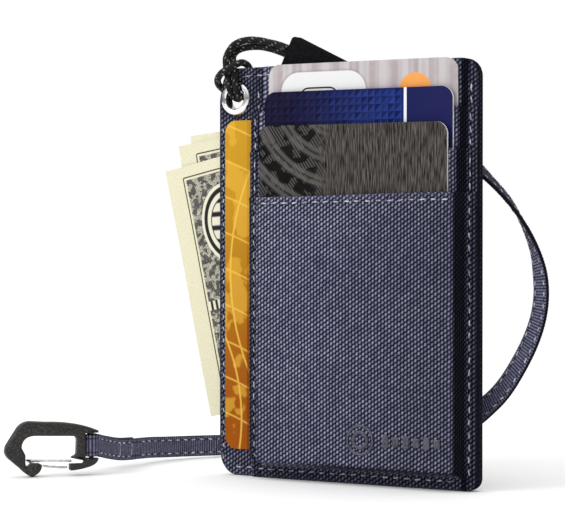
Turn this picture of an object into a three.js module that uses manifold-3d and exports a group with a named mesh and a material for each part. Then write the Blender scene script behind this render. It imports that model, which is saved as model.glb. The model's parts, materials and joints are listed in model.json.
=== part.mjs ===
// A slim card wallet with an eyelet, a cord loop, a webbing tether and a wire-gate clip.
// Millimetres. X is the wallet's width, Y its thickness with the front facing -Y, and Z is up.
// The origin is the middle of the bottom edge, half way through the seam.
import * as THREE from "three";
import { mergeVertices } from "three/addons/utils/BufferGeometryUtils.js";
import Module from "manifold-3d";

const wasm = await Module();
wasm.setup();

// ---------- driving dimensions ----------

const WIDTH = 74.8;
const HEIGHT = 106.2;
const RIGHT = WIDTH / 2;
const LEFT = -WIDTH / 2;
const CORNER = 4.5;
const STACK_LEFT = -28.3; // left edge of the card pockets, which leaves the side pocket open

// ID-1 cards.
const CARD_WIDTH = 54;
const CARD_HEIGHT = 85.6;
const CARD_THICKNESS = 0.76;
const CARD_CORNER = 3.18;

// Banknotes folded once.
const NOTE_LENGTH = 70;
const NOTE_HEIGHT = 66.3;
const NOTE_THICKNESS = 0.24;

// The base, the lining and the back, as [front, back] in Y.
const BASE_Y = [-0.22, 0.28];
const LINING_Y = [0.34, 0.5];
const BACK_Y = [1.52, 2.02];
const RIM_WIDTH = 1.4;

// Each pocket sheet's front and back in Y where it is sewn at the seam, over the side card, and
// over the stacked cards.
const POCKETS = {
  pocket_backing: { seam: [-0.46, -0.26], side: [-1.74, -1.24], cards: [-1.72, -1.22], top: HEIGHT },
  rear_pocket: { seam: [-0.76, -0.5], side: [-2.11, -1.78], cards: [-3.22, -2.72], top: 94.4 },
  middle_pocket: { seam: [-1.1, -0.8], side: [-2.51, -2.15], cards: [-4.72, -4.22], top: 84.1 },
  front_pocket: { seam: [-1.5, -1.14], side: [-2.95, -2.55], cards: [-6.32, -5.72], top: 73.3 },
};

// The rectangle where the sheets stand over the stacked cards, and the width of the slope round it.
const CARDS_LEFT = -23.3;
const CARDS_RIGHT = 32.9;
const CARDS_BOTTOM = 4.7;
const SLOPE = 2.1;
const BOTTOM_SLOPE = 1.8;
const SIDE_CARD_BOTTOM = 6.5;
const SIDE_CARD_TOP = 94.2;
const SIDE_FALL = 2; // height over which the sheets fall back below and above the side card

// Left edge, bottom edge and front face of each card.
const CARDS = {
  card_gold: [-35.9, 6.9, -1.14],
  card_grey: [-21.6, 20.8, -2.6],
  card_blue: [-22.0, 13.7, -4.1],
  card_black: [-22.8, 5.0, -5.6],
};

// Top left corner, tilt in degrees and front face of each banknote.
const NOTES = {
  banknote_front: [-55.9, 79.5, 12.5, 0.62],
  banknote_middle: [-51.9, 86.2, 9.5, 0.92],
  banknote_rear: [-48.3, 88.9, 6, 1.22],
};

const EYELET_X = -32.9;
const EYELET_Z = 98.2;
const EYELET_HOLE = 2.6;
const EYELET_BARREL = 3.05;
const EYELET_FLANGE = 4.05;
const PANEL_HOLE = 3.2;

const SEAM_INSET = 2.1;
const THREAD_WIDTH = 0.5;
const THREAD_HEIGHT = 0.12;

const MARK_X = 7.5;
const MARK_Z = 11.6;
const MARK_RADIUS = 3.9;
const MARK_BAR = { left: 13.8, right: 31, height: 3.2 };

const CORD_DIAMETER = 1.8;
const CORD_SIDES = 8;
const CORD_STEPS = 132;

const STRAP_WIDTH = 5.8;
const STRAP_THICKNESS = 1;
const FOLD_THICKNESS = 1.9;

// The sleeve that joins the cord to the strap lies along this line.
const TAB_START = new THREE.Vector3(-19.9, 4.5, 110.1);
const TAB_END = new THREE.Vector3(-2.1, 4.5, 101.5);
const TAB_WIDTH = 9.4;
const TAB_LEAF = 0.7;

// The clip stands on its edge. It turns on the upright bar that the strap's fold goes round.
const CLIP_PIVOT = new THREE.Vector3(-65.8, -19.6, 0);
const CLIP_HEADING = new THREE.Vector3(-0.653, -0.757, 0).normalize();
const PIVOT_U = -2.8; // the pivot's place along the clip, measured from its middle bar
const CLIP_THICKNESS = 3.2;
const SLOT = { left: -1.1, right: -2.1, bottom: 4.4, top: 10.9 };
const END_BAR = { right: -3.5, depth: 0.9 };
const GATE_WIRE = 0.7;
const WRAP_OUTER = 1.6;
const WRAP_INNER = 0.95;

// ---------- materials ----------

const material = (color, roughness, metalness = 0) =>
  new THREE.MeshStandardMaterial({ color, roughness, metalness });

const finishes = {
  fabric: material(0x2b3052, 0.85),
  lining: material(0x6d6f74, 0.6),
  thread: material(0xb9bdd0, 0.8),
  metal: material(0xd8d8da, 0.2, 1),
  rubber: material(0x14141a, 0.7),
  cord: material(0x0f0f12, 0.9),
  webbing: material(0x2a2c48, 0.9),
  plastic: material(0x26251f, 0.7),
  greyCard: material(0xc8c1c3, 0.35),
  blueCard: material(0x1d2a6b, 0.3),
  blackCard: material(0x2a2a2c, 0.3),
  goldCard: material(0xe0a92e, 0.3),
  paper: material(0xcfd0b4, 0.9),
};

const wallet = new THREE.Group();

function addPiece(name, geometry, finish) {
  const mesh = new THREE.Mesh(geometry, finishes[finish]);
  mesh.name = name;
  wallet.add(mesh);
}

// ---------- solids ----------

// A closed three.js geometry as a manifold-3d solid.
function toSolid(geometry) {
  const bare = new THREE.BufferGeometry();
  bare.setAttribute("position", geometry.getAttribute("position"));
  bare.setIndex(geometry.getIndex());
  const merged = mergeVertices(bare, 1e-4);
  const mesh = new wasm.Mesh({
    numProp: 3,
    vertProperties: merged.getAttribute("position").array,
    triVerts: new Uint32Array(merged.getIndex().array),
  });
  return new wasm.Manifold(mesh);
}

function toGeometry(solid) {
  const mesh = solid.getMesh();
  const geometry = new THREE.BufferGeometry();
  geometry.setAttribute("position", new THREE.BufferAttribute(mesh.vertProperties, 3));
  geometry.setIndex(new THREE.BufferAttribute(mesh.triVerts, 1));
  return geometry;
}

// A plate from an outline in X and Z, between two places in Y.
function plate(shape, [front, back], curveSegments = 6) {
  const geometry = new THREE.ExtrudeGeometry(shape, {
    depth: back - front,
    bevelEnabled: false,
    curveSegments,
  });
  return geometry.rotateX(Math.PI / 2).translate(0, back, 0);
}

function roundedRectangle(left, bottom, right, top, radius) {
  const shape = new THREE.Shape();
  shape.moveTo(left + radius, bottom);
  shape.lineTo(right - radius, bottom);
  shape.absarc(right - radius, bottom + radius, radius, -Math.PI / 2, 0);
  shape.lineTo(right, top - radius);
  shape.absarc(right - radius, top - radius, radius, 0, Math.PI / 2);
  shape.lineTo(left + radius, top);
  shape.absarc(left + radius, top - radius, radius, Math.PI / 2, Math.PI);
  shape.lineTo(left, bottom + radius);
  shape.absarc(left + radius, bottom + radius, radius, Math.PI, Math.PI * 1.5);
  return shape;
}

function circlePath(x, z, radius) {
  const path = new THREE.Path();
  path.absarc(x, z, radius, 0, Math.PI * 2, true);
  return path;
}

// A ring or tube about an upright axis in Y, from its [radius, y] profile, at the eyelet.
function eyeletRing(profile) {
  const points = [...profile, profile[0]].map(([radius, y]) => new THREE.Vector2(radius, y));
  const geometry = new THREE.LatheGeometry(points, 24);
  return geometry.translate(EYELET_X, 0, EYELET_Z);
}

const clamp = (value) => Math.min(Math.max(value, 0), 1);
const smooth = (value) => clamp(value) ** 2 * (3 - 2 * clamp(value));

// 1 over the stacked cards, falling to 0 at the seams.
function overCards(x, z) {
  const left = smooth((x - CARDS_LEFT + SLOPE) / SLOPE);
  const right = smooth((CARDS_RIGHT + SLOPE - x) / SLOPE);
  const bottom = smooth((z - CARDS_BOTTOM + BOTTOM_SLOPE) / BOTTOM_SLOPE);
  return left * right * bottom;
}

// 1 over the side card, falling to 0 above and below it.
function overSideCard(x, z) {
  const bottom = smooth((z - SIDE_CARD_BOTTOM + SIDE_FALL) / SIDE_FALL);
  const top = smooth((SIDE_CARD_TOP + SIDE_FALL - z) / SIDE_FALL);
  return bottom * top * (x < 0 ? 1 : 0);
}

// How far the outline's right edge comes in at the height z.
function cornerInset(z, top) {
  const low = 3;
  if (z < low) {
    return low - Math.sqrt(low ** 2 - (low - z) ** 2);
  }
  const over = top === HEIGHT ? z - (HEIGHT - CORNER) : 0;
  return over > 0 ? CORNER - Math.sqrt(Math.max(CORNER ** 2 - over ** 2, 0)) : 0;
}

// A pocket sheet: a closed solid between a front and a back surface over one grid of X and Z.
function pocketSheet({ seam, side, cards, top }) {
  const xs = [STACK_LEFT, -26.6, CARDS_LEFT - SLOPE];
  for (let i = 1; i <= 4; i += 1) {
    xs.push(CARDS_LEFT - SLOPE * (1 - i / 4));
  }
  xs.push(-12, 0, 12, 24, CARDS_RIGHT);
  for (let i = 1; i <= 4; i += 1) {
    xs.push(CARDS_RIGHT + (SLOPE * i) / 4);
  }
  xs.push(36.2, RIGHT);
  const zs = [0, 0.5, 1.4];
  for (let i = 0; i <= 4; i += 1) {
    zs.push(CARDS_BOTTOM - BOTTOM_SLOPE * (1 - i / 4));
  }
  zs.push(5.5, SIDE_CARD_BOTTOM, 24, 42, 60, 73.3);
  [84.1, SIDE_CARD_TOP, 94.4, SIDE_CARD_TOP + SIDE_FALL, HEIGHT - CORNER, HEIGHT - 2, HEIGHT - 0.6, HEIGHT].forEach((z) => {
    if (z <= top) {
      zs.push(z);
    }
  });

  const level = (face, x, z) => {
    const onCards = overCards(x, z);
    const onSide = overSideCard(x, z) * (1 - onCards);
    const rise = onCards * (cards[face] - seam[face]) + onSide * (side[face] - seam[face]);
    return seam[face] + rise;
  };
  const positions = [];
  [0, 1].forEach((face) =>
    zs.forEach((z) =>
      xs.forEach((x) => {
        const fraction = (x - STACK_LEFT) / (RIGHT - STACK_LEFT);
        const edge = RIGHT - cornerInset(z, top);
        const placed = STACK_LEFT + fraction * (edge - STACK_LEFT);
        positions.push(placed, level(face, x, z), z);
      }),
    ),
  );

  const columns = xs.length;
  const rows = zs.length;
  const layer = columns * rows;
  const index = [];
  const quad = (a, b, c, d) => index.push(a, b, c, a, c, d);
  for (let row = 0; row < rows - 1; row += 1) {
    for (let column = 0; column < columns - 1; column += 1) {
      const a = row * columns + column;
      quad(a, a + 1, a + 1 + columns, a + columns);
      quad(a + layer, a + columns + layer, a + 1 + columns + layer, a + 1 + layer);
    }
    const leftEdge = row * columns;
    const rightEdge = leftEdge + columns - 1;
    quad(leftEdge, leftEdge + columns, leftEdge + columns + layer, leftEdge + layer);
    quad(rightEdge, rightEdge + layer, rightEdge + columns + layer, rightEdge + columns);
  }
  const topRow = (rows - 1) * columns;
  for (let column = 0; column < columns - 1; column += 1) {
    quad(column, column + layer, column + 1 + layer, column + 1);
    const a = topRow + column;
    quad(a, a + 1, a + 1 + layer, a + layer);
  }
  const geometry = new THREE.BufferGeometry();
  geometry.setAttribute("position", new THREE.Float32BufferAttribute(positions, 3));
  geometry.setIndex(index);
  return geometry;
}

// A flat strip swept along a curve, its width turned to the directions given at the curve's points.
function ribbon(points, widthDirections, width, thickness, steps) {
  const route = new THREE.CatmullRomCurve3(points);
  const directions = new THREE.CatmullRomCurve3(widthDirections, false, "catmullrom", 0.5);
  const positions = [];
  for (let step = 0; step <= steps; step += 1) {
    const along = step / steps;
    const centre = route.getPoint(along);
    const tangent = route.getTangent(along);
    const across = directions.getPoint(along);
    across.addScaledVector(tangent, -across.dot(tangent)).normalize();
    const normal = new THREE.Vector3().crossVectors(tangent, across);
    [[-1, -1], [1, -1], [1, 1], [-1, 1]].forEach(([sideways, outwards]) => {
      const corner = centre.clone();
      corner.addScaledVector(across, (sideways * width) / 2);
      corner.addScaledVector(normal, (outwards * thickness) / 2);
      positions.push(corner.x, corner.y, corner.z);
    });
  }
  const index = [0, 2, 1, 0, 3, 2];
  for (let step = 0; step < steps; step += 1) {
    for (let side = 0; side < 4; side += 1) {
      const a = step * 4 + side;
      const b = step * 4 + ((side + 1) % 4);
      index.push(a, b, b + 4, a, b + 4, a + 4);
    }
  }
  const end = steps * 4;
  index.push(end, end + 1, end + 2, end, end + 2, end + 3);
  const geometry = new THREE.BufferGeometry();
  geometry.setAttribute("position", new THREE.Float32BufferAttribute(positions, 3));
  geometry.setIndex(index);
  return geometry;
}

const vectors = (rows) => rows.map(([x, y, z]) => new THREE.Vector3(x, y, z));

// ---------- the wallet's own panels ----------

function walletOutline(inset = 0) {
  return roundedRectangle(LEFT + inset, inset, RIGHT - inset, HEIGHT - inset, CORNER - inset);
}

function addPanels() {
  const base = walletOutline();
  base.holes.push(circlePath(EYELET_X, EYELET_Z, PANEL_HOLE));
  addPiece("base_panel", plate(base, BASE_Y), "fabric");

  const lining = roundedRectangle(-36.6, RIM_WIDTH + 0.2, RIGHT - RIM_WIDTH - 0.2, 104.6, 3);
  lining.holes.push(circlePath(EYELET_X, EYELET_Z, PANEL_HOLE));
  addPiece("shield_lining", plate(lining, LINING_Y), "lining");

  // The back has a rim on its top, right and bottom, where it is turned in to meet the base.
  const back = walletOutline();
  back.holes.push(circlePath(EYELET_X, EYELET_Z, PANEL_HOLE));
  const frame = toSolid(plate(walletOutline(), [BASE_Y[1] + 0.04, BACK_Y[0] + 0.1]));
  const innerTop = HEIGHT - RIM_WIDTH;
  const open = roundedRectangle(LEFT - 5, RIM_WIDTH, RIGHT - RIM_WIDTH, innerTop, CORNER - RIM_WIDTH);
  const hollow = toSolid(plate(open, [BASE_Y[1] - 0.2, BACK_Y[0] + 0.3]));
  const leftStrip = roundedRectangle(LEFT - 5, -5, LEFT + CORNER, HEIGHT + 5, 0.01);
  const leftSide = toSolid(plate(leftStrip, [BASE_Y[1] - 0.2, BACK_Y[0]]));
  const rim = frame.subtract(hollow).subtract(leftSide);
  addPiece("back_panel", toGeometry(toSolid(plate(back, BACK_Y)).add(rim)), "fabric");

  Object.entries(POCKETS).forEach(([name, sheet]) => addPiece(name, pocketSheet(sheet), "fabric"));
}

// ---------- thread lines ----------

function threadBox(left, bottom, right, top, front) {
  return plate(roundedRectangle(left, bottom, right, top, 0.01), [front - THREAD_HEIGHT, front], 1);
}

function addThreads() {
  const half = THREAD_WIDTH / 2;
  const seamX = RIGHT - SEAM_INSET;
  const seamFront = POCKETS.front_pocket.seam[0] - 0.02;
  const bottomRun = threadBox(STACK_LEFT + 0.5, SEAM_INSET - half, seamX + half, SEAM_INSET + half, seamFront);
  const rightRun = threadBox(seamX - half, SEAM_INSET - half, seamX + half, HEIGHT - 3, seamFront);
  addPiece("seam_thread", toGeometry(toSolid(bottomRun).add(toSolid(rightRun))), "thread");

  const columnFront = POCKETS.front_pocket.side[0] - 0.02;
  addPiece("column_thread", threadBox(-27.1, 5, -26.6, 72.5, columnFront), "thread");
  addPiece("left_edge_thread", threadBox(-36.9, 2, -36.4, 93, BASE_Y[0] - 0.02), "thread");

  const hemFront = POCKETS.front_pocket.cards[0] - 0.02;
  addPiece("front_hem_thread", threadBox(CARDS_LEFT + 0.3, 71.4, CARDS_RIGHT, 71.9, hemFront), "thread");
}

// ---------- cards, banknotes, eyelet and mark ----------

function addContents() {
  const cardFinish = { gold: "goldCard", grey: "greyCard", blue: "blueCard", black: "blackCard" };
  Object.entries(CARDS).forEach(([name, [left, bottom, front]]) => {
    const outline = roundedRectangle(left, bottom, left + CARD_WIDTH, bottom + CARD_HEIGHT, CARD_CORNER);
    const finish = cardFinish[name.split("_")[1]];
    addPiece(name, plate(outline, [front, front + CARD_THICKNESS], 4), finish);
  });
  Object.entries(NOTES).forEach(([name, [left, top, tilt, front]]) => {
    const angle = THREE.MathUtils.degToRad(tilt);
    const corner = (along, down) =>
      new THREE.Vector2(
        left + along * Math.cos(angle) + down * Math.sin(angle),
        top + along * Math.sin(angle) - down * Math.cos(angle),
      );
    const outline = new THREE.Shape([
      corner(0, NOTE_HEIGHT),
      corner(NOTE_LENGTH, NOTE_HEIGHT),
      corner(NOTE_LENGTH, 0),
      corner(0, 0),
    ]);
    addPiece(name, plate(outline, [front, front + NOTE_THICKNESS]), "paper");
  });
}

function addEyelet() {
  const flangeBack = BASE_Y[0] - 0.05;
  const front = eyeletRing([
    [EYELET_HOLE, 2.35],
    [EYELET_HOLE, flangeBack - 0.35],
    [EYELET_HOLE + 0.35, flangeBack - 0.72],
    [EYELET_FLANGE - 0.45, flangeBack - 0.6],
    [EYELET_FLANGE, flangeBack],
    [EYELET_BARREL, flangeBack],
    [EYELET_BARREL, 2.35],
  ]);
  addPiece("eyelet_front", front, "metal");
  const washerInner = EYELET_BARREL + 0.1;
  const washer = eyeletRing([
    [washerInner, BACK_Y[1] + 0.05],
    [EYELET_FLANGE + 0.2, BACK_Y[1] + 0.05],
    [EYELET_FLANGE - 0.1, BACK_Y[1] + 0.45],
    [washerInner, BACK_Y[1] + 0.45],
  ]);
  addPiece("eyelet_washer", washer, "metal");
}

function addMark() {
  const front = POCKETS.front_pocket.cards[0];
  const span = [front - 0.3, front - 0.04];
  const ring = new THREE.Shape();
  ring.absarc(MARK_X, MARK_Z, MARK_RADIUS, 0, Math.PI * 2);
  ring.holes.push(circlePath(MARK_X, MARK_Z, MARK_RADIUS - 0.9));
  addPiece("mark_ring", plate(ring, span, 12), "fabric");
  const { left, right, height } = MARK_BAR;
  const bar = roundedRectangle(left, MARK_Z - height / 2, right, MARK_Z + height / 2, 0.6);
  addPiece("mark_bar", plate(bar, span, 3), "fabric");
}

// ---------- cord, tab and strap ----------

// From the sleeve over the top, down the front into the eyelet, up the back, round the left edge,
// across the first run and back to the sleeve behind it.
const CORD_ROUTE = [
  [-20.0, 4.0, 111.2],
  [-22.4, 3.8, 112.1],
  [-25.1, 3.6, 112.8],
  [-28.2, 3.2, 113.5],
  [-30.9, 2.6, 113.7],
  [-33.2, 1.9, 113.3],
  [-34.7, 1.0, 112.3],
  [-35.4, 0.0, 110.8],
  [-35.6, -1.1, 109.0],
  [-35.2, -1.8, 107.2],
  [-34.8, -2.1, 105.3],
  [-34.2, -2.2, 103.3],
  [-33.9, -2.2, 101.1],
  [-33.9, -0.9, 99.4],
  [-33.9, 0.9, 98.5],
  [-34.1, 2.5, 98.4],
  [-35.0, 3.6, 98.6],
  [-36.4, 3.9, 99.3],
  [-37.7, 3.2, 100.3],
  [-38.4, 1.6, 101.1],
  [-38.5, -0.3, 102.1],
  [-37.8, -1.9, 103.2],
  [-36.4, -3.2, 104.2],
  [-34.7, -4.0, 105.1],
  [-32.9, -3.8, 106.0],
  [-31.7, -2.6, 106.9],
  [-31.6, -0.9, 107.5],
  [-31.5, 0.9, 107.6],
  [-31.3, 2.6, 107.0],
  [-31.2, 3.8, 105.5],
  [-31.3, 4.0, 103.6],
  [-31.5, 3.9, 101.8],
  [-31.8, 3.2, 100.1],
  [-31.9, 1.7, 98.9],
  [-31.9, -0.2, 98.9],
  [-31.9, -1.6, 99.9],
  [-32.0, -2.1, 101.6],
  [-32.4, -2.0, 103.5],
  [-32.8, -1.8, 105.3],
  [-33.5, -0.9, 106.9],
  [-34.4, 0.3, 108.1],
  [-35.1, 1.3, 109.3],
  [-35.1, 2.2, 110.4],
  [-34.3, 3.0, 111.3],
  [-32.4, 3.7, 111.9],
  [-29.0, 4.4, 112.0],
  [-25.8, 4.8, 111.4],
  [-23.0, 5.0, 110.5],
  [-20.7, 5.0, 109.6],
];

// From the end of the fold at the clip, round behind the wallet, out in the loop on the right and
// up to the sleeve. The second triple is the direction of the strap's width there.
const STRAP_ROUTE = [
  [[-70.0, 5.6, 4.3], [0, 0, 1]],
  [[-70.1, 13.5, 4.0], [0, 0, 1]],
  [[-69.1, 19.0, 3.7], [0, 0, 1]],
  [[-66.2, 27.5, 3.4], [0, 0, 1]],
  [[-61.5, 35.5, 3.2], [0, 0, 1]],
  [[-54.0, 42.0, 3.1], [0, 0, 1]],
  [[-44.0, 45.0, 3.1], [0, 0, 1]],
  [[-32.0, 43.5, 3.1], [0, 0, 1]],
  [[-18.0, 38.0, 3.4], [0, 0, 1]],
  [[-3.0, 30.0, 4.8], [-0.12, 0.05, 0.99]],
  [[11.0, 21.0, 8.0], [-0.28, 0.1, 0.95]],
  [[23.0, 13.5, 12.6], [-0.44, 0.17, 0.88]],
  [[35.2, 7.6, 19.9], [-0.57, 0.31, 0.74]],
  [[40.4, 6.6, 24.5], [-0.7, 0.37, 0.6]],
  [[44.4, 6.4, 30.1], [-0.76, 0.41, 0.5]],
  [[47.9, 6.5, 36.6], [-0.81, 0.44, 0.38]],
  [[49.9, 6.8, 42.5], [-0.86, 0.47, 0.18]],
  [[50.6, 7.0, 48.1], [-0.87, 0.5, 0]],
  [[50.2, 7.0, 53.7], [-0.82, 0.56, -0.1]],
  [[48.8, 7.0, 59.1], [-0.62, 0.75, -0.23]],
  [[45.9, 7.0, 65.2], [-0.4, 0.885, -0.23]],
  [[41.7, 7.0, 71.4], [-0.15, 0.98, -0.12]],
  [[35.4, 7.0, 77.6], [0, 1, 0]],
  [[27.5, 6.6, 84.0], [0.3, 0.87, 0.4]],
  [[18.5, 5.8, 90.4], [0.43, 0.5, 0.74]],
  [[9.0, 5.0, 95.8], [0.45, 0.09, 0.89]],
  [[0.0, 4.5, 99.9], [0.44, 0, 0.9]],
  [[-4.2, 4.5, 101.85], [0.44, 0, 0.9]],
];

// From the pivot to the end of the fold.
const FOLD_ROUTE = [
  [-66.1, -18.6, 7.65],
  [-67.2, -14.2, 6.9],
  [-68.4, -8.9, 5.9],
  [-69.5, -1.6, 4.75],
  [-69.95, 5.2, 4.32],
];

function addCord() {
  const section = new THREE.Shape();
  section.absarc(0, 0, CORD_DIAMETER / 2, 0, Math.PI * 2);
  const geometry = new THREE.ExtrudeGeometry(section, {
    steps: CORD_STEPS,
    curveSegments: CORD_SIDES,
    extrudePath: new THREE.CatmullRomCurve3(vectors(CORD_ROUTE)),
  });
  addPiece("lanyard_cord", geometry, "cord");
}

function addTab() {
  const along = TAB_END.clone().sub(TAB_START);
  const length = along.length();
  const angle = Math.atan2(along.z, along.x);
  [["tab_front", -1], ["tab_back", 1]].forEach(([name, side]) => {
    const inner = TAB_START.y + side * (STRAP_THICKNESS / 2 + 0.1);
    const span = [inner, inner + side * TAB_LEAF].sort((a, b) => a - b);
    const leaf = roundedRectangle(0, -TAB_WIDTH / 2, length, TAB_WIDTH / 2, 1);
    const geometry = plate(leaf, span, 3);
    geometry.rotateY(-angle).translate(TAB_START.x, 0, TAB_START.z);
    addPiece(name, geometry, "rubber");
  });
}

function addStrap() {
  const route = vectors(STRAP_ROUTE.map(([place]) => place));
  const directions = vectors(STRAP_ROUTE.map(([, direction]) => direction));
  addPiece("strap_webbing", ribbon(route, directions, STRAP_WIDTH, STRAP_THICKNESS, 96), "webbing");

  const upright = FOLD_ROUTE.map(() => [0, 0, 1]);
  const tail = ribbon(vectors(FOLD_ROUTE), vectors(upright), STRAP_WIDTH, FOLD_THICKNESS, 16);
  const bottom = FOLD_ROUTE[0][2] - STRAP_WIDTH / 2;
  const tube = new THREE.CylinderGeometry(WRAP_OUTER, WRAP_OUTER, STRAP_WIDTH, 20);
  const bore = new THREE.CylinderGeometry(WRAP_INNER, WRAP_INNER, STRAP_WIDTH + 2, 20);
  const stand = (geometry) =>
    geometry
      .rotateX(Math.PI / 2)
      .translate(CLIP_PIVOT.x, CLIP_PIVOT.y, bottom + STRAP_WIDTH / 2);
  const fold = toSolid(tail).add(toSolid(stand(tube))).subtract(toSolid(stand(bore)));
  addPiece("strap_fold", toGeometry(fold), "webbing");
}

// ---------- clip ----------

// The clip's outline along its heading (u) and up (v), with the nose and the gate side below.
function clipOutline() {
  const shape = new THREE.Shape();
  shape.moveTo(13.2, 0);
  shape.quadraticCurveTo(14.4, 0.4, 16.3, 2.3);
  shape.lineTo(19.3, 4.9);
  shape.quadraticCurveTo(20.8, 6.4, 19.6, 8.5);
  shape.lineTo(16.8, 12.8);
  shape.quadraticCurveTo(15.6, 14.3, 13.6, 14.4);
  shape.lineTo(9.5, 14.1);
  shape.quadraticCurveTo(1.1, 14.1, -4.5, 11.3);
  shape.lineTo(-4.5, SLOT.top + 0.1);
  shape.lineTo(END_BAR.right, SLOT.top + 0.15);
  shape.lineTo(END_BAR.right, SLOT.bottom - 0.15);
  shape.lineTo(-4.6, SLOT.bottom - 0.1);
  shape.quadraticCurveTo(-4.4, 3, -2.7, 2.3);
  shape.quadraticCurveTo(0, 1.4, 2.8, 1.3);
  shape.lineTo(3, 1.5);
  shape.lineTo(3, 3);
  shape.lineTo(-0.6, 3);
  shape.quadraticCurveTo(-1.1, 3.7, -0.6, 4.3);
  shape.lineTo(2.5, 4.5);
  shape.lineTo(2.4, 4.9);
  shape.quadraticCurveTo(1.3, 5, 1.25, 5.8);
  shape.lineTo(1.15, 9.2);
  shape.quadraticCurveTo(1.2, 10.2, 2.4, 10.3);
  shape.lineTo(12.6, 10.6);
  shape.quadraticCurveTo(15.6, 10.4, 15.8, 7.6);
  shape.lineTo(14.8, 5.7);
  shape.lineTo(14.8, 3.7);
  shape.quadraticCurveTo(14.8, 2.7, 14.1, 2.7);
  shape.lineTo(13.2, 3.4);
  shape.lineTo(11.1, 3.4);
  shape.quadraticCurveTo(10.3, 3, 10.6, 2);
  shape.quadraticCurveTo(11.2, 0.8, 12, 0.5);
  shape.quadraticCurveTo(12.6, 0, 13.2, 0);
  return shape;
}

// Turns a geometry made in u, v and the clip's thickness to where the clip stands.
function standClip(geometry) {
  const across = new THREE.Vector3().crossVectors(CLIP_HEADING, new THREE.Vector3(0, 0, 1));
  const turn = new THREE.Matrix4().makeBasis(CLIP_HEADING, new THREE.Vector3(0, 0, 1), across);
  const origin = CLIP_PIVOT.clone().addScaledVector(CLIP_HEADING, -PIVOT_U);
  return geometry.applyMatrix4(turn).translate(origin.x, origin.y, origin.z);
}

function boxSolid(left, bottom, right, top, near, far) {
  const geometry = new THREE.BoxGeometry(right - left, top - bottom, far - near);
  return toSolid(geometry.translate((left + right) / 2, (bottom + top) / 2, (near + far) / 2));
}

function addClip() {
  const half = CLIP_THICKNESS / 2;
  const outline = clipOutline();
  const slot = new THREE.Path();
  slot.moveTo(SLOT.left, SLOT.bottom);
  slot.lineTo(SLOT.right, SLOT.bottom);
  slot.lineTo(SLOT.right, SLOT.top);
  slot.lineTo(SLOT.left, SLOT.top);
  outline.holes.push(slot);
  const body = new THREE.ExtrudeGeometry(outline, {
    depth: CLIP_THICKNESS,
    bevelEnabled: false,
    curveSegments: 6,
  });
  // The end bar is thinner than the body, so that the fold goes round it within the thickness.
  let frame = toSolid(body.translate(0, 0, -half));
  [[-half - 1, -END_BAR.depth / 2], [END_BAR.depth / 2, half + 1]].forEach(([near, far]) => {
    frame = frame.subtract(
      boxSolid(END_BAR.right - 0.5, SLOT.bottom, SLOT.right + 0.1, SLOT.top, near, far),
    );
  });
  addPiece("clip_frame", standClip(toGeometry(frame)), "plastic");

  const wireRoute = vectors([
    [2.4, 3.75, 0],
    [6, 3.85, 0],
    [10, 4.0, 0],
    [12.9, 4.1, 0.2],
    [14.0, 4.1, 1.3],
    [13.4, 3.7, 2.2],
    [11.6, 2.9, 2.3],
    [9, 2.4, 2.0],
    [6, 2.1, 1.4],
    [3.35, 1.95, 1],
  ]);
  const section = new THREE.Shape();
  section.absarc(0, 0, GATE_WIRE / 2, 0, Math.PI * 2);
  const gate = new THREE.ExtrudeGeometry(section, {
    steps: 30,
    curveSegments: 8,
    extrudePath: new THREE.CatmullRomCurve3(wireRoute),
  });
  addPiece("clip_gate", standClip(gate), "metal");
}

addPanels();
addThreads();
addContents();
addEyelet();
addMark();
addCord();
addTab();
addStrap();
addClip();

export default wallet;
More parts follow.
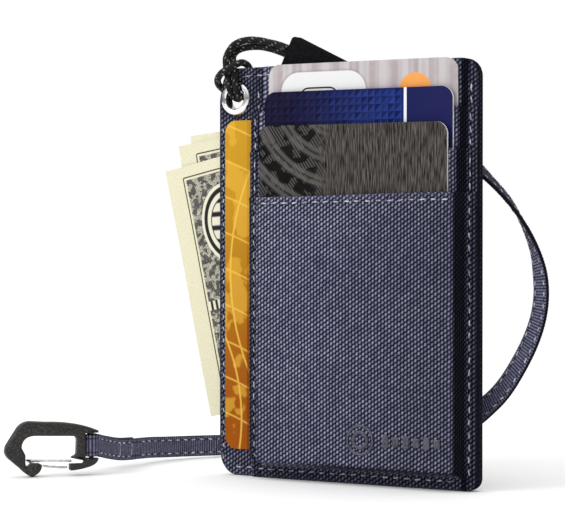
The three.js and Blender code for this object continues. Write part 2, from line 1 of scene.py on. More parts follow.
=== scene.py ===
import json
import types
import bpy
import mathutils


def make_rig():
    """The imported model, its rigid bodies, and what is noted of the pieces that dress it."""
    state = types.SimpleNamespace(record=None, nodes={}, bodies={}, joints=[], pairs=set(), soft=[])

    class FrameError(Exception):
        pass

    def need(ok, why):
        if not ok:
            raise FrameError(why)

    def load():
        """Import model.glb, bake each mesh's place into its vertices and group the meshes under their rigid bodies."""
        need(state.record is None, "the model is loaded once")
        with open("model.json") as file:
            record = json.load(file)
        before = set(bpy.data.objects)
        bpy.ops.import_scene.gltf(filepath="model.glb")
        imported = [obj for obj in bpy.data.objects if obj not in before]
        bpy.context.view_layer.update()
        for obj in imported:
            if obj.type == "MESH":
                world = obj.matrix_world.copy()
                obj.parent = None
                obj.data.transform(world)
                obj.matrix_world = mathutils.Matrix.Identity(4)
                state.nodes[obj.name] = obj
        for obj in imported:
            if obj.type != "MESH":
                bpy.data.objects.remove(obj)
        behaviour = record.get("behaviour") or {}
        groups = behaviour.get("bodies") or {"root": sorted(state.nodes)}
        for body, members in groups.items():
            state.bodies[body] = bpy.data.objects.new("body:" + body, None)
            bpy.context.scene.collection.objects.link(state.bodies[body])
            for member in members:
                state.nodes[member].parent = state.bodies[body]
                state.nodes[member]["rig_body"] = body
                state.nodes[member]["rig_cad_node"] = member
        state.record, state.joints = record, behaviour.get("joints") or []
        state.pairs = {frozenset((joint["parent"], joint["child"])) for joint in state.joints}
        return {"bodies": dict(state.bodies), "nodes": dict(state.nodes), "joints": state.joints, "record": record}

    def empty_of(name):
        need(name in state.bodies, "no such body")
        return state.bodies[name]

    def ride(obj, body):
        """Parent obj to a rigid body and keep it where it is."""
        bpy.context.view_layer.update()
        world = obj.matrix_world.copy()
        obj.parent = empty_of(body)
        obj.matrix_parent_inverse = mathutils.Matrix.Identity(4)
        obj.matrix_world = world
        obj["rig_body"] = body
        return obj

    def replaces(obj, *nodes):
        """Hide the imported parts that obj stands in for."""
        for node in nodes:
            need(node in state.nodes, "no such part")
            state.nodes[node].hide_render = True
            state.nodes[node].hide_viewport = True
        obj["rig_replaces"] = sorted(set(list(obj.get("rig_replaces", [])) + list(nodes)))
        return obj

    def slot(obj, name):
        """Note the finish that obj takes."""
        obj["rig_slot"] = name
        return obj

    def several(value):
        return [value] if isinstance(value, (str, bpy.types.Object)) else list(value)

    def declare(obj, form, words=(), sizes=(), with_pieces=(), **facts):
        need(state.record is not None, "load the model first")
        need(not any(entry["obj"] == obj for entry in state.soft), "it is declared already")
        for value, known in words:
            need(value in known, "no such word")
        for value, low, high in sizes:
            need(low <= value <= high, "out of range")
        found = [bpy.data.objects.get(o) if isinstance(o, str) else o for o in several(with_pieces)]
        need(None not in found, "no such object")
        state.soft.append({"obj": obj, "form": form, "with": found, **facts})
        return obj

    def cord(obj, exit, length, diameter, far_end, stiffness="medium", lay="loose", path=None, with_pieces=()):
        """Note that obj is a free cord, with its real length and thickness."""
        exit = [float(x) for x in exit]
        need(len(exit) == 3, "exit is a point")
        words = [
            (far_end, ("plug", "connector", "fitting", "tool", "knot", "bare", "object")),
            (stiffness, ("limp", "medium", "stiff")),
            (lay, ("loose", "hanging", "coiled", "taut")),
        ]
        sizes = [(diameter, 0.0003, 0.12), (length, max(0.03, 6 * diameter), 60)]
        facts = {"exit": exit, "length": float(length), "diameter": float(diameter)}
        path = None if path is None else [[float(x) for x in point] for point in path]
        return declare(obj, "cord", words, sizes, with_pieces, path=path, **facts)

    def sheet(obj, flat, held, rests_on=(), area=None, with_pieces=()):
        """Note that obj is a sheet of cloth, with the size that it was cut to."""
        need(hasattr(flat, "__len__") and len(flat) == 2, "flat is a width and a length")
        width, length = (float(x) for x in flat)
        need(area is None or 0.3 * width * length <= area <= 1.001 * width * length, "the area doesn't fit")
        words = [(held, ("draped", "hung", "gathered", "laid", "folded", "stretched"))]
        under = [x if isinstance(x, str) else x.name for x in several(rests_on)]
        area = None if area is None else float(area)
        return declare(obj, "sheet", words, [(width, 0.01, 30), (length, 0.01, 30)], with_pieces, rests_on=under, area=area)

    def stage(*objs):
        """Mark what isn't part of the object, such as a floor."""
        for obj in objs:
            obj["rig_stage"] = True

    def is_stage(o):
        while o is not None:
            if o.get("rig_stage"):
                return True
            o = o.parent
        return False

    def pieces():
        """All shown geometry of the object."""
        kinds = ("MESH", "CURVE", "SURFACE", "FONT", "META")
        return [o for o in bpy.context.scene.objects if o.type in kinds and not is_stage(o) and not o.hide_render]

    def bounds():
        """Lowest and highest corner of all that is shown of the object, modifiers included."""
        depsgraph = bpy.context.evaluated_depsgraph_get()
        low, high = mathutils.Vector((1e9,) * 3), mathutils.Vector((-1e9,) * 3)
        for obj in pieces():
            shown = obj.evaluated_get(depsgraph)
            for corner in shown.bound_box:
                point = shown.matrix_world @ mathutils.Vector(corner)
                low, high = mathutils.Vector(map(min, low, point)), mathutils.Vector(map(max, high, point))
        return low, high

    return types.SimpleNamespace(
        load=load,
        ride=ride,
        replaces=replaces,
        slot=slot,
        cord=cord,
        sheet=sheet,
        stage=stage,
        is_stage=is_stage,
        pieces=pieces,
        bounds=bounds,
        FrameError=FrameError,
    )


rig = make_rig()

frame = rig.load()
cad_box = [list(corner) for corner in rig.bounds()]

import json
import math
import random

import bmesh
import bpy
import numpy as np
from mathutils import Vector

# A card wallet with an eyelet, a cord loop, a webbing tether and a wire-gate clip.
# Shapes are worked out in millimetres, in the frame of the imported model, and made in metres.

MM = 0.001
draw = random.Random(7)

WIDTH = 74.8
HEIGHT = 106.2
LEFT = -WIDTH / 2
RIGHT = WIDTH / 2
CORNER = 4.5
FOOT_CORNER = 3
STACK_LEFT = -27.4

CARD_WIDTH = 54
CARD_HEIGHT = 85.6
CARD_THICKNESS = 0.76
CARD_CORNER = 3.18

BASE_Y = (-0.22, 0.28)
BACK_Y = (1.52, 2.02)

CARDS_LEFT = -22.8
CARDS_RIGHT = 32.9
CARDS_BOTTOM = 4.7
SLOPE = 2.1
BOTTOM_SLOPE = 1.8
SIDE_CARD_BOTTOM = 6.5
SIDE_CARD_TOP = 94.2
SIDE_FALL = 2

STITCH_PITCH = 3.05
STITCH_LENGTH = 1.75
STITCH_WOBBLE = 0.072
STITCH_SIZE = (0.4, 0.3)
STITCH_LIFT = 0.1

# ---------- camera ----------

CAMERA_PLACE = (0.27132, -0.47678, 0.06405)
CAMERA_YAW = 31.345
CAMERA_PITCH = 0.7335
CAMERA_LENS = 137.86


def add_camera():
    data = bpy.data.cameras.new("camera")
    data.sensor_width = 36
    data.lens = CAMERA_LENS
    data.clip_start = 0.01
    data.clip_end = 60
    camera = bpy.data.objects.new("camera", data)
    bpy.context.scene.collection.objects.link(camera)
    camera.location = CAMERA_PLACE
    camera.rotation_euler = (math.radians(90 - CAMERA_PITCH), 0, math.radians(CAMERA_YAW))
    bpy.context.scene.camera = camera


add_camera()

# ---------- meshes ----------


def make_object(name, points, faces, uvs=None, values=None):
    """A smooth mesh object from points in millimetres. uvs has one pair for each point, and values
    maps an attribute's name to one number for each point."""
    mesh = bpy.data.meshes.new(name)
    mesh.from_pydata((np.asarray(points, float) * MM).tolist(), [], [list(face) for face in faces])
    mesh.update()
    mesh.polygons.foreach_set("use_smooth", [True] * len(mesh.polygons))
    if uvs is not None:
        layer = mesh.uv_layers.new(name="Run")
        corners = np.zeros(len(mesh.loops), np.int32)
        mesh.loops.foreach_get("vertex_index", corners)
        layer.data.foreach_set("uv", np.asarray(uvs, np.float32)[corners].ravel())
    for key, numbers in (values or {}).items():
        attribute = mesh.attributes.new(key, "FLOAT", "POINT")
        attribute.data.foreach_set("value", np.asarray(numbers, np.float32))
    made = bpy.data.objects.new(name, mesh)
    bpy.context.scene.collection.objects.link(made)
    return made


def place(made, body, slot, material, *replaced):
    """Gives a piece its body, slot, material and the CAD nodes that it stands for."""
    for each in material if isinstance(material, (list, tuple)) else [material]:
        made.data.materials.append(each)
    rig.ride(made, body)
    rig.slot(made, slot)
    if replaced:
        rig.replaces(made, *replaced)
    return made


def smooth_step(value):
    value = np.clip(value, 0, 1)
    return value * value * (3 - 2 * value)


def curve_point(points, along, centripetal=True):
    """A point of a Catmull-Rom curve through the points, with along from 0 to 1."""
    count = len(points)
    place_along = (count - 1) * along
    index = min(int(place_along), count - 2)
    weight = place_along - index
    p1 = points[index]
    p2 = points[index + 1]
    p0 = points[index - 1] if index > 0 else 2 * p1 - p2
    p3 = points[index + 2] if index + 2 < count else 2 * p2 - p1
    if centripetal:
        d0 = max(float(((p1 - p0) ** 2).sum()) ** 0.25, 1e-4)
        d1 = max(float(((p2 - p1) ** 2).sum()) ** 0.25, 1e-4)
        d2 = max(float(((p3 - p2) ** 2).sum()) ** 0.25, 1e-4)
        t1 = ((p1 - p0) / d0 - (p2 - p0) / (d0 + d1) + (p2 - p1) / d1) * d1
        t2 = ((p2 - p1) / d1 - (p3 - p1) / (d1 + d2) + (p3 - p2) / d2) * d1
    else:
        t1 = (p2 - p0) / 2
        t2 = (p3 - p1) / 2
    square = -3 * p1 + 3 * p2 - 2 * t1 - t2
    cube = 2 * p1 - 2 * p2 + t1 + t2
    return p1 + t1 * weight + square * weight**2 + cube * weight**3


def sample_route(points, widths=None, step=0.3):
    """Points at an even distance along a route, with the width direction at each, and distances."""
    points = np.asarray(points, float)
    fine = np.array([curve_point(points, i / 2400) for i in range(2401)])
    gaps = np.linalg.norm(np.diff(fine, axis=0), axis=1)
    distance = np.concatenate([[0], np.cumsum(gaps)])
    count = max(int(distance[-1] / step), 8)
    wanted = np.linspace(0, distance[-1], count + 1)
    centres = np.stack([np.interp(wanted, distance, fine[:, k]) for k in range(3)], axis=1)
    if widths is None:
        return centres, None, wanted
    parameter = np.interp(wanted, distance, np.linspace(0, 1, 2401))
    widths = np.asarray(widths, float)
    across = np.array([curve_point(widths, t, centripetal=False) for t in parameter])
    return centres, across, wanted


def tangents_of(centres):
    tangents = np.gradient(centres, axis=0)
    return tangents / np.linalg.norm(tangents, axis=1, keepdims=True)


def ring_faces(rings, sides):
    """Faces of a tube made of rings of points, closed at both ends."""
    faces = []
    for ring in range(rings - 1):
        for side in range(sides):
            a = ring * sides + side
            b = ring * sides + (side + 1) % sides
            faces.append((a, b, b + sides, a + sides))
    faces.append(tuple(reversed(range(sides))))
    faces.append(tuple(range((rings - 1) * sides, rings * sides)))
    return faces


# ---------- routes of the cord and the strap ----------

CORD_DIAMETER = 1.8
STRAP_WIDTH = 5.8
STRAP_THICKNESS = 1.0
FOLD_LAYER = 0.9
STRAP_ROW = 1.83
STRAP_STITCH_PITCH = 2.75
RIB_PITCH = 0.74
RIB_HEIGHT = 0.05
CHANNEL_DEPTH = 0.09
CHANNEL_SPAN = (1.55, 2.1)
STRAP_THREAD_SIZE = (0.36, 0.26)

CORD_ROUTE = [
    (-20.0, 4.0, 111.2), (-22.4, 3.8, 112.1), (-25.1, 3.6, 112.8), (-28.2, 3.2, 113.5),
    (-30.9, 2.6, 113.7), (-33.2, 1.9, 113.3), (-34.7, 1.0, 112.3), (-35.4, 0.0, 110.8),
    (-35.6, -1.1, 109.0), (-35.2, -1.8, 107.2), (-34.8, -2.1, 105.3), (-34.2, -2.2, 103.3),
    (-33.9, -2.2, 101.1), (-33.9, -0.9, 99.4), (-33.9, 0.9, 98.5), (-34.1, 2.5, 98.4),
    (-35.0, 3.6, 98.6), (-36.4, 3.9, 99.3), (-37.7, 3.2, 100.3), (-38.4, 1.6, 101.1),
    (-38.5, -0.3, 102.1), (-37.8, -1.9, 103.2), (-36.4, -3.2, 104.2), (-34.7, -4.0, 105.1),
    (-32.9, -3.8, 106.0), (-31.7, -2.6, 106.9), (-31.6, -0.9, 107.5), (-31.5, 0.9, 107.6),
    (-31.3, 2.6, 107.0), (-31.2, 3.8, 105.5), (-31.3, 4.0, 103.6), (-31.5, 3.9, 101.8),
    (-31.8, 3.2, 100.1), (-31.9, 1.7, 98.9), (-31.9, -0.2, 98.9), (-31.9, -1.6, 99.9),
    (-32.0, -2.1, 101.6), (-32.4, -2.0, 103.5), (-32.8, -1.8, 105.3), (-33.5, -0.9, 106.9),
    (-34.4, 0.3, 108.1), (-35.1, 1.3, 109.3), (-35.1, 2.2, 110.4), (-34.3, 3.0, 111.3),
    (-32.4, 3.7, 111.9), (-29.0, 4.4, 112.0), (-25.8, 4.8, 111.4), (-23.0, 5.0, 110.5),
    (-20.7, 5.0, 109.6),
]

# Each place on the strap with the direction of its width there.
STRAP_ROUTE = [
    ((-70.0, 5.6, 4.3), (0, 0, 1)), ((-70.1, 13.5, 4.0), (0, 0, 1)),
    ((-69.1, 19.0, 3.7), (0, 0, 1)), ((-66.2, 27.5, 3.4), (0, 0, 1)),
    ((-61.5, 35.5, 3.2), (0, 0, 1)), ((-54.0, 42.0, 3.1), (0, 0, 1)),
    ((-44.0, 45.0, 3.1), (0, 0, 1)), ((-32.0, 43.5, 3.1), (0, 0, 1)),
    ((-18.0, 38.0, 3.4), (0, 0, 1)), ((-3.0, 30.0, 4.8), (-0.12, 0.05, 0.99)),
    ((11.0, 21.0, 8.0), (-0.28, 0.1, 0.95)), ((23.0, 13.5, 12.6), (-0.44, 0.17, 0.88)),
    ((35.2, 7.6, 19.9), (-0.57, 0.31, 0.74)), ((40.4, 6.6, 24.5), (-0.7, 0.37, 0.6)),
    ((44.4, 6.4, 30.1), (-0.76, 0.41, 0.5)), ((47.9, 6.5, 36.6), (-0.81, 0.44, 0.38)),
    ((49.9, 6.8, 42.5), (-0.86, 0.47, 0.18)), ((50.6, 7.0, 48.1), (-0.87, 0.5, 0)),
    ((50.2, 7.0, 53.7), (-0.82, 0.56, -0.1)), ((48.8, 7.0, 59.1), (-0.62, 0.75, -0.23)),
    ((45.9, 7.0, 65.2), (-0.4, 0.885, -0.23)), ((41.7, 7.0, 71.4), (-0.15, 0.98, -0.12)),
    ((35.4, 7.0, 77.6), (0, 1, 0)), ((27.5, 6.6, 84.0), (0.3, 0.87, 0.4)),
    ((18.5, 5.8, 90.4), (0.43, 0.5, 0.74)), ((9.0, 5.0, 95.8), (0.45, 0.09, 0.89)),
    ((0.0, 4.5, 99.9), (0.44, 0, 0.9)), ((-4.2, 4.5, 101.85), (0.44, 0, 0.9)),
]

# From the clip's end bar to the end of the fold.
FOLD_ROUTE = [
    (-66.1, -18.6, 7.65), (-67.2, -14.2, 6.9), (-68.4, -8.9, 5.9), (-69.5, -1.6, 4.75),
    (-69.95, 5.2, 4.32),
]

# ---------- materials ----------


def linear(red, green, blue):
    """A colour given in sRGB steps of 255, as linear RGBA."""
    def one(value):
        value = value / 255
        return value / 12.92 if value <= 0.04045 else ((value + 0.055) / 1.055) ** 2.4
    return (one(red), one(green), one(blue), 1)


class Value:
    """An output of a look's node that can be used in sums, so that a pattern reads as a formula."""

    def __init__(self, look, socket):
        self.look = look
        self.socket = socket

    def __add__(self, other):
        return self.look.math("ADD", self, other)

    def __sub__(self, other):
        return self.look.math("SUBTRACT", self, other)

    def __mul__(self, other):
        return self.look.math("MULTIPLY", self, other)

    def __truediv__(self, other):
        return self.look.math("DIVIDE", self, other)

    def __abs__(self):
        return self.look.math("ABSOLUTE", self)

    def __round__(self):
        return self.look.math("ROUND", self)


class Look:
    """A material and short ways to add nodes to it."""

    def __init__(self, name, roughness=0.5, metallic=0.0, specular=0.5, sheen=0.0, coat=0.0):
        self.material = bpy.data.materials.new(name)
        self.material.use_nodes = True
        self.tree = self.material.node_tree
        self.shader = self.tree.nodes["Principled BSDF"]
        self.shader.inputs["Roughness"].default_value = roughness
        self.shader.inputs["Metallic"].default_value = metallic
        self.shader.inputs["Specular IOR Level"].default_value = specular
        self.shader.inputs["Sheen Weight"].default_value = sheen
        self.shader.inputs["Sheen Roughness"].default_value = 0.45
        self.shader.inputs["Coat Weight"].default_value = coat
        self.shader.inputs["Coat Roughness"].default_value = 0.12
        coordinates = self.tree.nodes.new("ShaderNodeTexCoord")
        self.place = Value(self, coordinates.outputs["Object"])
        self.run = Value(self, coordinates.outputs["UV"])

    def connect(self, value, socket):
        if isinstance(value, Value):
            self.tree.links.new(value.socket, socket)
        elif value is not None:
            socket.default_value = value

    def math(self, operation, first, second=None):
        node = self.tree.nodes.new("ShaderNodeMath")
        node.operation = operation
        for value, socket in zip((first, second), node.inputs):
            self.connect(value, socket)
        return Value(self, node.outputs[0])

    def split(self, vector, scale=1000):
        """The three parts of a vector, in millimetres if it is a place in metres."""
        node = self.tree.nodes.new("ShaderNodeSeparateXYZ")
        self.connect(vector, node.inputs[0])
        return [Value(self, node.outputs[k]) * scale for k in range(3)]

    def join(self, x=0.0, y=0.0, z=0.0):
        node = self.tree.nodes.new("ShaderNodeCombineXYZ")
        for value, socket in zip((x, y, z), node.inputs):
            self.connect(value, socket)
        return Value(self, node.outputs[0])

    def mix(self, factor, first, second):
        node = self.tree.nodes.new("ShaderNodeMix")
        node.data_type = "RGBA"
        self.connect(factor, node.inputs[0])
        self.connect(first, node.inputs[6])
        self.connect(second, node.inputs[7])
        return Value(self, node.outputs[2])

    def step(self, value, low, high, to_low=0.0, to_high=1.0):
        """A smooth rise from to_low to to_high as the value goes from low to high."""
        node = self.tree.nodes.new("ShaderNodeMapRange")
        node.interpolation_type = "SMOOTHSTEP"
        for number, socket in zip((value, low, high, to_low, to_high), node.inputs):
            self.connect(number, socket)
        return Value(self, node.outputs[0])

    def noise(self, vector, scale, detail=2.0, roughness=0.5):
        node = self.tree.nodes.new("ShaderNodeTexNoise")
        self.connect(vector, node.inputs["Vector"])
        node.inputs["Scale"].default_value = scale
        node.inputs["Detail"].default_value = detail
        node.inputs["Roughness"].default_value = roughness
        return Value(self, node.outputs["Fac"])

    def cells(self, vector, scale):
        node = self.tree.nodes.new("ShaderNodeTexVoronoi")
        self.connect(vector, node.inputs["Vector"])
        node.inputs["Scale"].default_value = scale
        return Value(self, node.outputs["Distance"])

    def chance(self, vector):
        node = self.tree.nodes.new("ShaderNodeTexWhiteNoise")
        self.connect(vector, node.inputs["Vector"])
        return Value(self, node.outputs["Value"])

    def attribute(self, name):
        node = self.tree.nodes.new("ShaderNodeAttribute")
        node.attribute_name = name
        return Value(self, node.outputs["Fac"])

    def distance(self, x, y, centre_x, centre_y):
        dx = x - centre_x
        dy = y - centre_y
        squares = dx * dx + dy * dy
        return self.math("SQRT", squares)

    def inside(self, value, low, high, soft=0.12):
        """1 where the value is between low and high."""
        rise = self.step(value, low - soft, low + soft)
        fall = self.step(value, high - soft, high + soft, 1.0, 0.0)
        return rise * fall

    def stripes(self, value, pitch, share=0.5, soft=0.15):
        """1 on the given share of each pitch of the value."""
        wave = self.math("PINGPONG", value, pitch / 2)
        edge = share * pitch / 2
        return self.step(wave, edge - soft * pitch, edge + soft * pitch, 1.0, 0.0)

    def colour(self, value):
        self.connect(value, self.shader.inputs["Base Color"])

    def rough(self, value):
        self.connect(value, self.shader.inputs["Roughness"])

    def bump(self, height, depth):
        """Relief from a height of 0 to 1, depth in millimetres."""
        node = self.tree.nodes.new("ShaderNodeBump")
        node.inputs["Distance"].default_value = depth * MM
        self.connect(height, node.inputs["Height"])
        self.tree.links.new(node.outputs[0], self.shader.inputs["Normal"])


WEAVE_COLUMN = 0.92
WEAVE_ROW = 1.18


def weave_look(name, dark, light, wear_colour):
    """Coarse oxford weave with light floats in staggered columns."""
    look = Look(name, roughness=0.78, specular=0.05, sheen=0.02)
    x, y, z = look.split(look.place)
    wobble = (look.noise(look.place, 140) - 0.5) * 0.5
    # The depth is added in, so that faces that look sideways have threads too.
    run_x = x + y + wobble
    u = run_x / WEAVE_COLUMN
    column = round(u)
    across = u - column
    half = look.math("MODULO", abs(column), 2) * 0.5
    v = (z + wobble) / WEAVE_ROW + half
    row = round(v)
    along = v - row - across * 0.35
    reach = look.distance(across / 0.5, along / 0.46, 0.0, 0.0)
    float_height = look.step(reach, 0.05, 1.12, 1.0, 0.0)
    thread = look.chance(look.join(column, row))
    grain = look.noise(look.join(x * 5.0, y, z), 1.1, 3.0)
    patches = look.noise(look.place, 28, 3.0)
    strength = thread * 0.5 + 0.6
    factor = float_height * strength
    factor = factor * look.step(grain, 0.2, 0.75, 0.7, 1.15)
    factor = factor * look.step(patches, 0.3, 0.7, 0.82, 1.1)
    woven = look.mix(factor, dark, light)
    wear = look.attribute("wear") * look.step(grain, 0.35, 0.7)
    # The shade attribute holds painted shade: where it is set, the cloth is mixed towards near black.
    shade = look.attribute("shade") * 0.96
    worn = look.mix(wear * 0.35, woven, wear_colour)
    look.colour(look.mix(shade, worn, linear(2, 2, 12)))
    look.rough(look.step(float_height, 0.0, 1.0, 0.92, 0.68))
    height = float_height + grain * 0.25
    look.bump(height, 0.16)
    return look.material


def thread_look():
    look = Look("sewing_thread", roughness=0.6, sheen=0.2)
    x, _, z = look.split(look.place)
    lay = look.stripes(x + z, 0.45, 0.55)
    tone = look.noise(look.place, 900, 2.0)
    colour = look.mix(look.step(tone, 0.3, 0.7), linear(118, 119, 138), linear(226, 227, 236))
    look.colour(look.mix(lay * 0.35, colour, linear(70, 70, 100)))
    look.bump(lay, 0.05)
    return look.material


def webbing_look():
    """Narrow webbing: ribs across it and a channel near each edge for the stitches, with painted shade in the
    channels, on both edges and where the strap runs high, in the shade of the wallet."""
    look = Look("webbing", roughness=0.78, specular=0.08, sheen=0.06)
    u, v, _ = look.split(look.run, 1.0)
    ribs = look.stripes(v, RIB_PITCH, 0.55, 0.2)
    offset = abs(u)
    grain = look.noise(look.join(u * 3.0, v), 2.2, 3.0)
    thread = look.chance(look.join(round(v / RIB_PITCH), round(u / 0.5)))
    factor = ribs * look.step(grain, 0.25, 0.7, 0.6, 1.0)
    factor = factor * (thread * 0.5 + 0.55)
    colour = look.mix(factor, linear(36, 36, 58), linear(132, 132, 158))
    # Painted shade: the stitch channels are darkened, and both edges are painted near black as the strap's thickness
    # in shadow.
    channel = look.inside(offset, 1.62, 2.02, 0.1)
    edge = look.step(offset, 2.55, 2.8)
    dark = look.math("MAXIMUM", channel * 0.6, edge)
    # Painted shade where the strap runs high, in the shade of the wallet.
    height_above = look.split(look.place)[2]
    dark = look.math("MAXIMUM", dark, look.step(height_above, 55.0, 64.0, 0.0, 0.72))
    look.colour(look.mix(dark, colour, linear(10, 10, 20)))
    height = ribs - channel * 0.7
    look.bump(height + grain * 0.3, 0.16)
    return look.material


def cord_look():
    """A black braid with pale flecks where the tracer yarn comes up."""
    look = Look("braided_cord", roughness=0.7, specular=0.2, sheen=0.03)
    pick = look.attribute("fleck")
    relief = look.attribute("relief")
    tone = look.noise(look.place, 1400, 2.0)
    black = look.mix(relief * tone, linear(4, 4, 5), linear(30, 29, 30))
    look.colour(look.mix(pick * look.step(tone, 0.3, 0.55), black, linear(150, 144, 132)))
    look.bump(tone, 0.05)
    return look.material


def leather_look():
    """The black sleeve: a fine pebble grain, lighter where a wear attribute is set, which the sleeve's pieces don't
    carry.
    """
    look = Look("grained_sleeve", roughness=0.78, specular=0.07)
    pebbles = look.cells(look.place, 1900)
    fine = look.noise(look.place, 900, 4.0)
    wear = look.attribute("wear")
    colour = look.mix(look.step(fine, 0.35, 0.7), linear(5, 4, 6), linear(24, 23, 26))
    look.colour(look.mix(wear * 0.35, colour, linear(66, 64, 66)))
    look.rough(look.step(fine, 0.3, 0.7, 0.62, 0.85))
    look.bump(pebbles, 0.12)
    return look.material


def clip_look():
    """Moulded plastic with a spark-eroded texture and broad darker patches."""
    look = Look("moulded_clip", roughness=0.5, specular=0.4)
    spark = look.noise(look.place, 2600, 3.0, 0.7)
    specks = look.cells(look.place, 2400)
    broad = look.noise(look.place, 160, 2.0)
    colour = look.mix(look.step(spark, 0.45, 0.72), linear(20, 19, 18), linear(88, 84, 78))
    colour = look.mix(look.step(broad, 0.3, 0.7, 0.0, 0.35), colour, linear(20, 19, 19))
    look.colour(colour)
    look.rough(look.step(spark, 0.35, 0.7, 0.36, 0.6))
    look.bump(spark + specks * 0.6, 0.07)
    return look.material


def metal_look(name, low, high, roughness):
    """Polished metal with faint drawn lines and a few duller spots."""
    look = Look(name, roughness=roughness, metallic=1.0)
    lines = look.noise(look.place, 700, 4.0)
    spots = look.noise(look.place, 120, 2.0)
    look.colour(look.mix(look.step(lines, 0.3, 0.7), low, high))
    look.rough(look.step(spots, 0.35, 0.7, roughness, roughness + 0.14))
    look.bump(lines, 0.01)
    return look.material


def mark_look():
    """Raised glossy print, smoother than the cloth but following its threads."""
    look = Look("raised_print", roughness=0.3, specular=0.6, coat=0.4)
    x, _, z = look.split(look.place)
    threads = look.stripes(x, WEAVE_COLUMN, 0.5, 0.25) * look.stripes(z, WEAVE_ROW, 0.5, 0.25)
    tone = look.noise(look.place, 500, 3.0)
    look.colour(look.mix(look.step(tone, 0.3, 0.7), linear(16, 17, 32), linear(66, 66, 84)))
    look.rough(look.step(tone, 0.3, 0.7, 0.22, 0.42))
    look.bump(threads + tone, 0.05)
    return look.material


def lining_look():
    """Metallised lining with a fine ripstop grid and creases."""
    look = Look("shield_foil", roughness=0.38, metallic=0.4)
    x, _, z = look.split(look.place)
    grid = look.math("MAXIMUM", look.stripes(x, 3.0, 0.12, 0.03), look.stripes(z, 3.0, 0.12, 0.03))
    creases = look.noise(look.place, 60, 4.0)
    foil = look.mix(creases, linear(120, 122, 126), linear(178, 180, 184))
    look.colour(look.mix(grid, foil, linear(92, 94, 98)))
    look.bump(grid + creases, 0.15)
    return look.material


def floor_look():
    """Pale and matt, with a faint polish that mirrors what stands on it."""
    look = Look("studio_floor", roughness=0.9, specular=0.0)
    tone = look.noise(look.place, 3.0, 2.0)
    look.colour(look.mix(tone, linear(251, 251, 251), linear(254, 254, 254)))
    polish = look.tree.nodes.new("ShaderNodeBsdfGlossy")
    polish.inputs["Roughness"].default_value = 0.16
    blend = look.tree.nodes.new("ShaderNodeMixShader")
    blend.inputs[0].default_value = 0.045
    look.tree.links.new(look.shader.outputs[0], blend.inputs[1])
    look.tree.links.new(polish.outputs[0], blend.inputs[2])
    output = look.tree.nodes["Material Output"]
    look.tree.links.new(blend.outputs[0], output.inputs["Surface"])
    return look.material


NAVY_DARK = linear(13, 15, 46)
NAVY_LIGHT = linear(172, 174, 194)
NAVY_WORN = linear(116, 118, 148)

FABRIC = weave_look("oxford_weave", NAVY_DARK, NAVY_LIGHT, NAVY_WORN)
THREAD = thread_look()
WEBBING = webbing_look()
CORD = cord_look()
SLEEVE = leather_look()
CLIP = clip_look()
NICKEL = metal_look("polished_nickel", linear(214, 213, 210), linear(238, 238, 238), 0.09)
WIRE = metal_look("spring_wire", linear(190, 190, 190), linear(228, 228, 228), 0.16)
MARK = mark_look()
LINING = lining_look()

# ---------- the cord ----------

BRAID_LAY = 1.7
BRAID_CARRIERS = 4
CORD_SIDES = 24


def braided_cord():
    centres, _, distance = sample_route(CORD_ROUTE, step=0.16)
    tangents = tangents_of(centres)
    normal = np.cross(tangents[0], (0, 0, 1))
    normal /= np.linalg.norm(normal)
    points = []
    relief = []
    fleck = []
    radius = CORD_DIAMETER / 2
    for centre, tangent, along in zip(centres, tangents, distance):
        normal = normal - tangent * normal.dot(tangent)
        normal /= np.linalg.norm(normal)
        side = np.cross(tangent, normal)
        for k in range(CORD_SIDES):
            angle = 2 * math.pi * k / CORD_SIDES
            turn = 2 * math.pi * along / BRAID_LAY
            right = BRAID_CARRIERS * angle + turn
            left = BRAID_CARRIERS * angle - turn
            over = math.cos(right) * math.cos(left) > 0
            height = abs(math.sin(right if over else left)) ** 0.6
            reach = radius * (0.9 + 0.13 * height)
            points.append(centre + reach * (math.cos(angle) * normal + math.sin(angle) * side))
            relief.append(height)
            carrier = math.floor(right / math.pi) % 4
            row = math.floor(left / math.pi) % 2
            fleck.append(1.0 if carrier == 0 and row == 0 and height > 0.78 else 0.0)
    values = {"relief": relief, "fleck": fleck}
    cord = make_object("cord_braid", points, ring_faces(len(centres), CORD_SIDES), values=values)
    place(cord, "wallet", "cord", CORD, "lanyard_cord")
    return cord, centres, distance[-1]


cord, cord_line, cord_length = braided_cord()
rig.cord(
    cord,
    exit=[value * MM for value in CORD_ROUTE[0]],
    length=cord_length * MM,
    diameter=CORD_DIAMETER * MM,
    far_end="object",
    stiffness="limp",
    lay="loose",
    path=(cord_line * MM).tolist(),
)

# ---------- the strap ----------


def strap_section(width, thickness, corner=0.35, steps=12):
    """Points round a flat section with rounded ends, as [sideways, outwards]."""
    reach = width / 2 - corner
    flat = thickness / 2
    side = [(-reach + 2 * reach * k / steps, -flat) for k in range(steps + 1)]
    for k in range(1, 4):
        angle = -math.pi / 2 + math.pi * k / 4
        side.append((reach + corner * math.cos(angle), flat * math.sin(angle)))
    return np.array(side + [(-sideways, -outwards) for sideways, outwards in side])


def flat_run(name, route, widths, width, thickness):
    """A webbing run along a route, with its ribs in the mesh."""
    centres, across, distance = sample_route(route, widths, step=0.24)
    tangents = tangents_of(centres)
    across -= tangents * (across * tangents).sum(axis=1, keepdims=True)
    across /= np.linalg.norm(across, axis=1, keepdims=True)
    normal = np.cross(tangents, across)
    section = strap_section(width, thickness)
    points = []
    uvs = []
    for centre, sideways, outwards, along in zip(centres, across, normal, distance):
        swell = 1 + RIB_HEIGHT * math.cos(2 * math.pi * along / RIB_PITCH) / (thickness / 2)
        for a, b in section:
            channel = CHANNEL_DEPTH if CHANNEL_SPAN[0] < abs(a) < CHANNEL_SPAN[1] else 0.0
            height = math.copysign(max(abs(b) * swell - channel, 0), b)
            points.append(centre + a * sideways + height * outwards)
            uvs.append((a, along))
    made = make_object(name, points, ring_faces(len(centres), len(section)), uvs=uvs)
    return made, centres, across, normal, distance


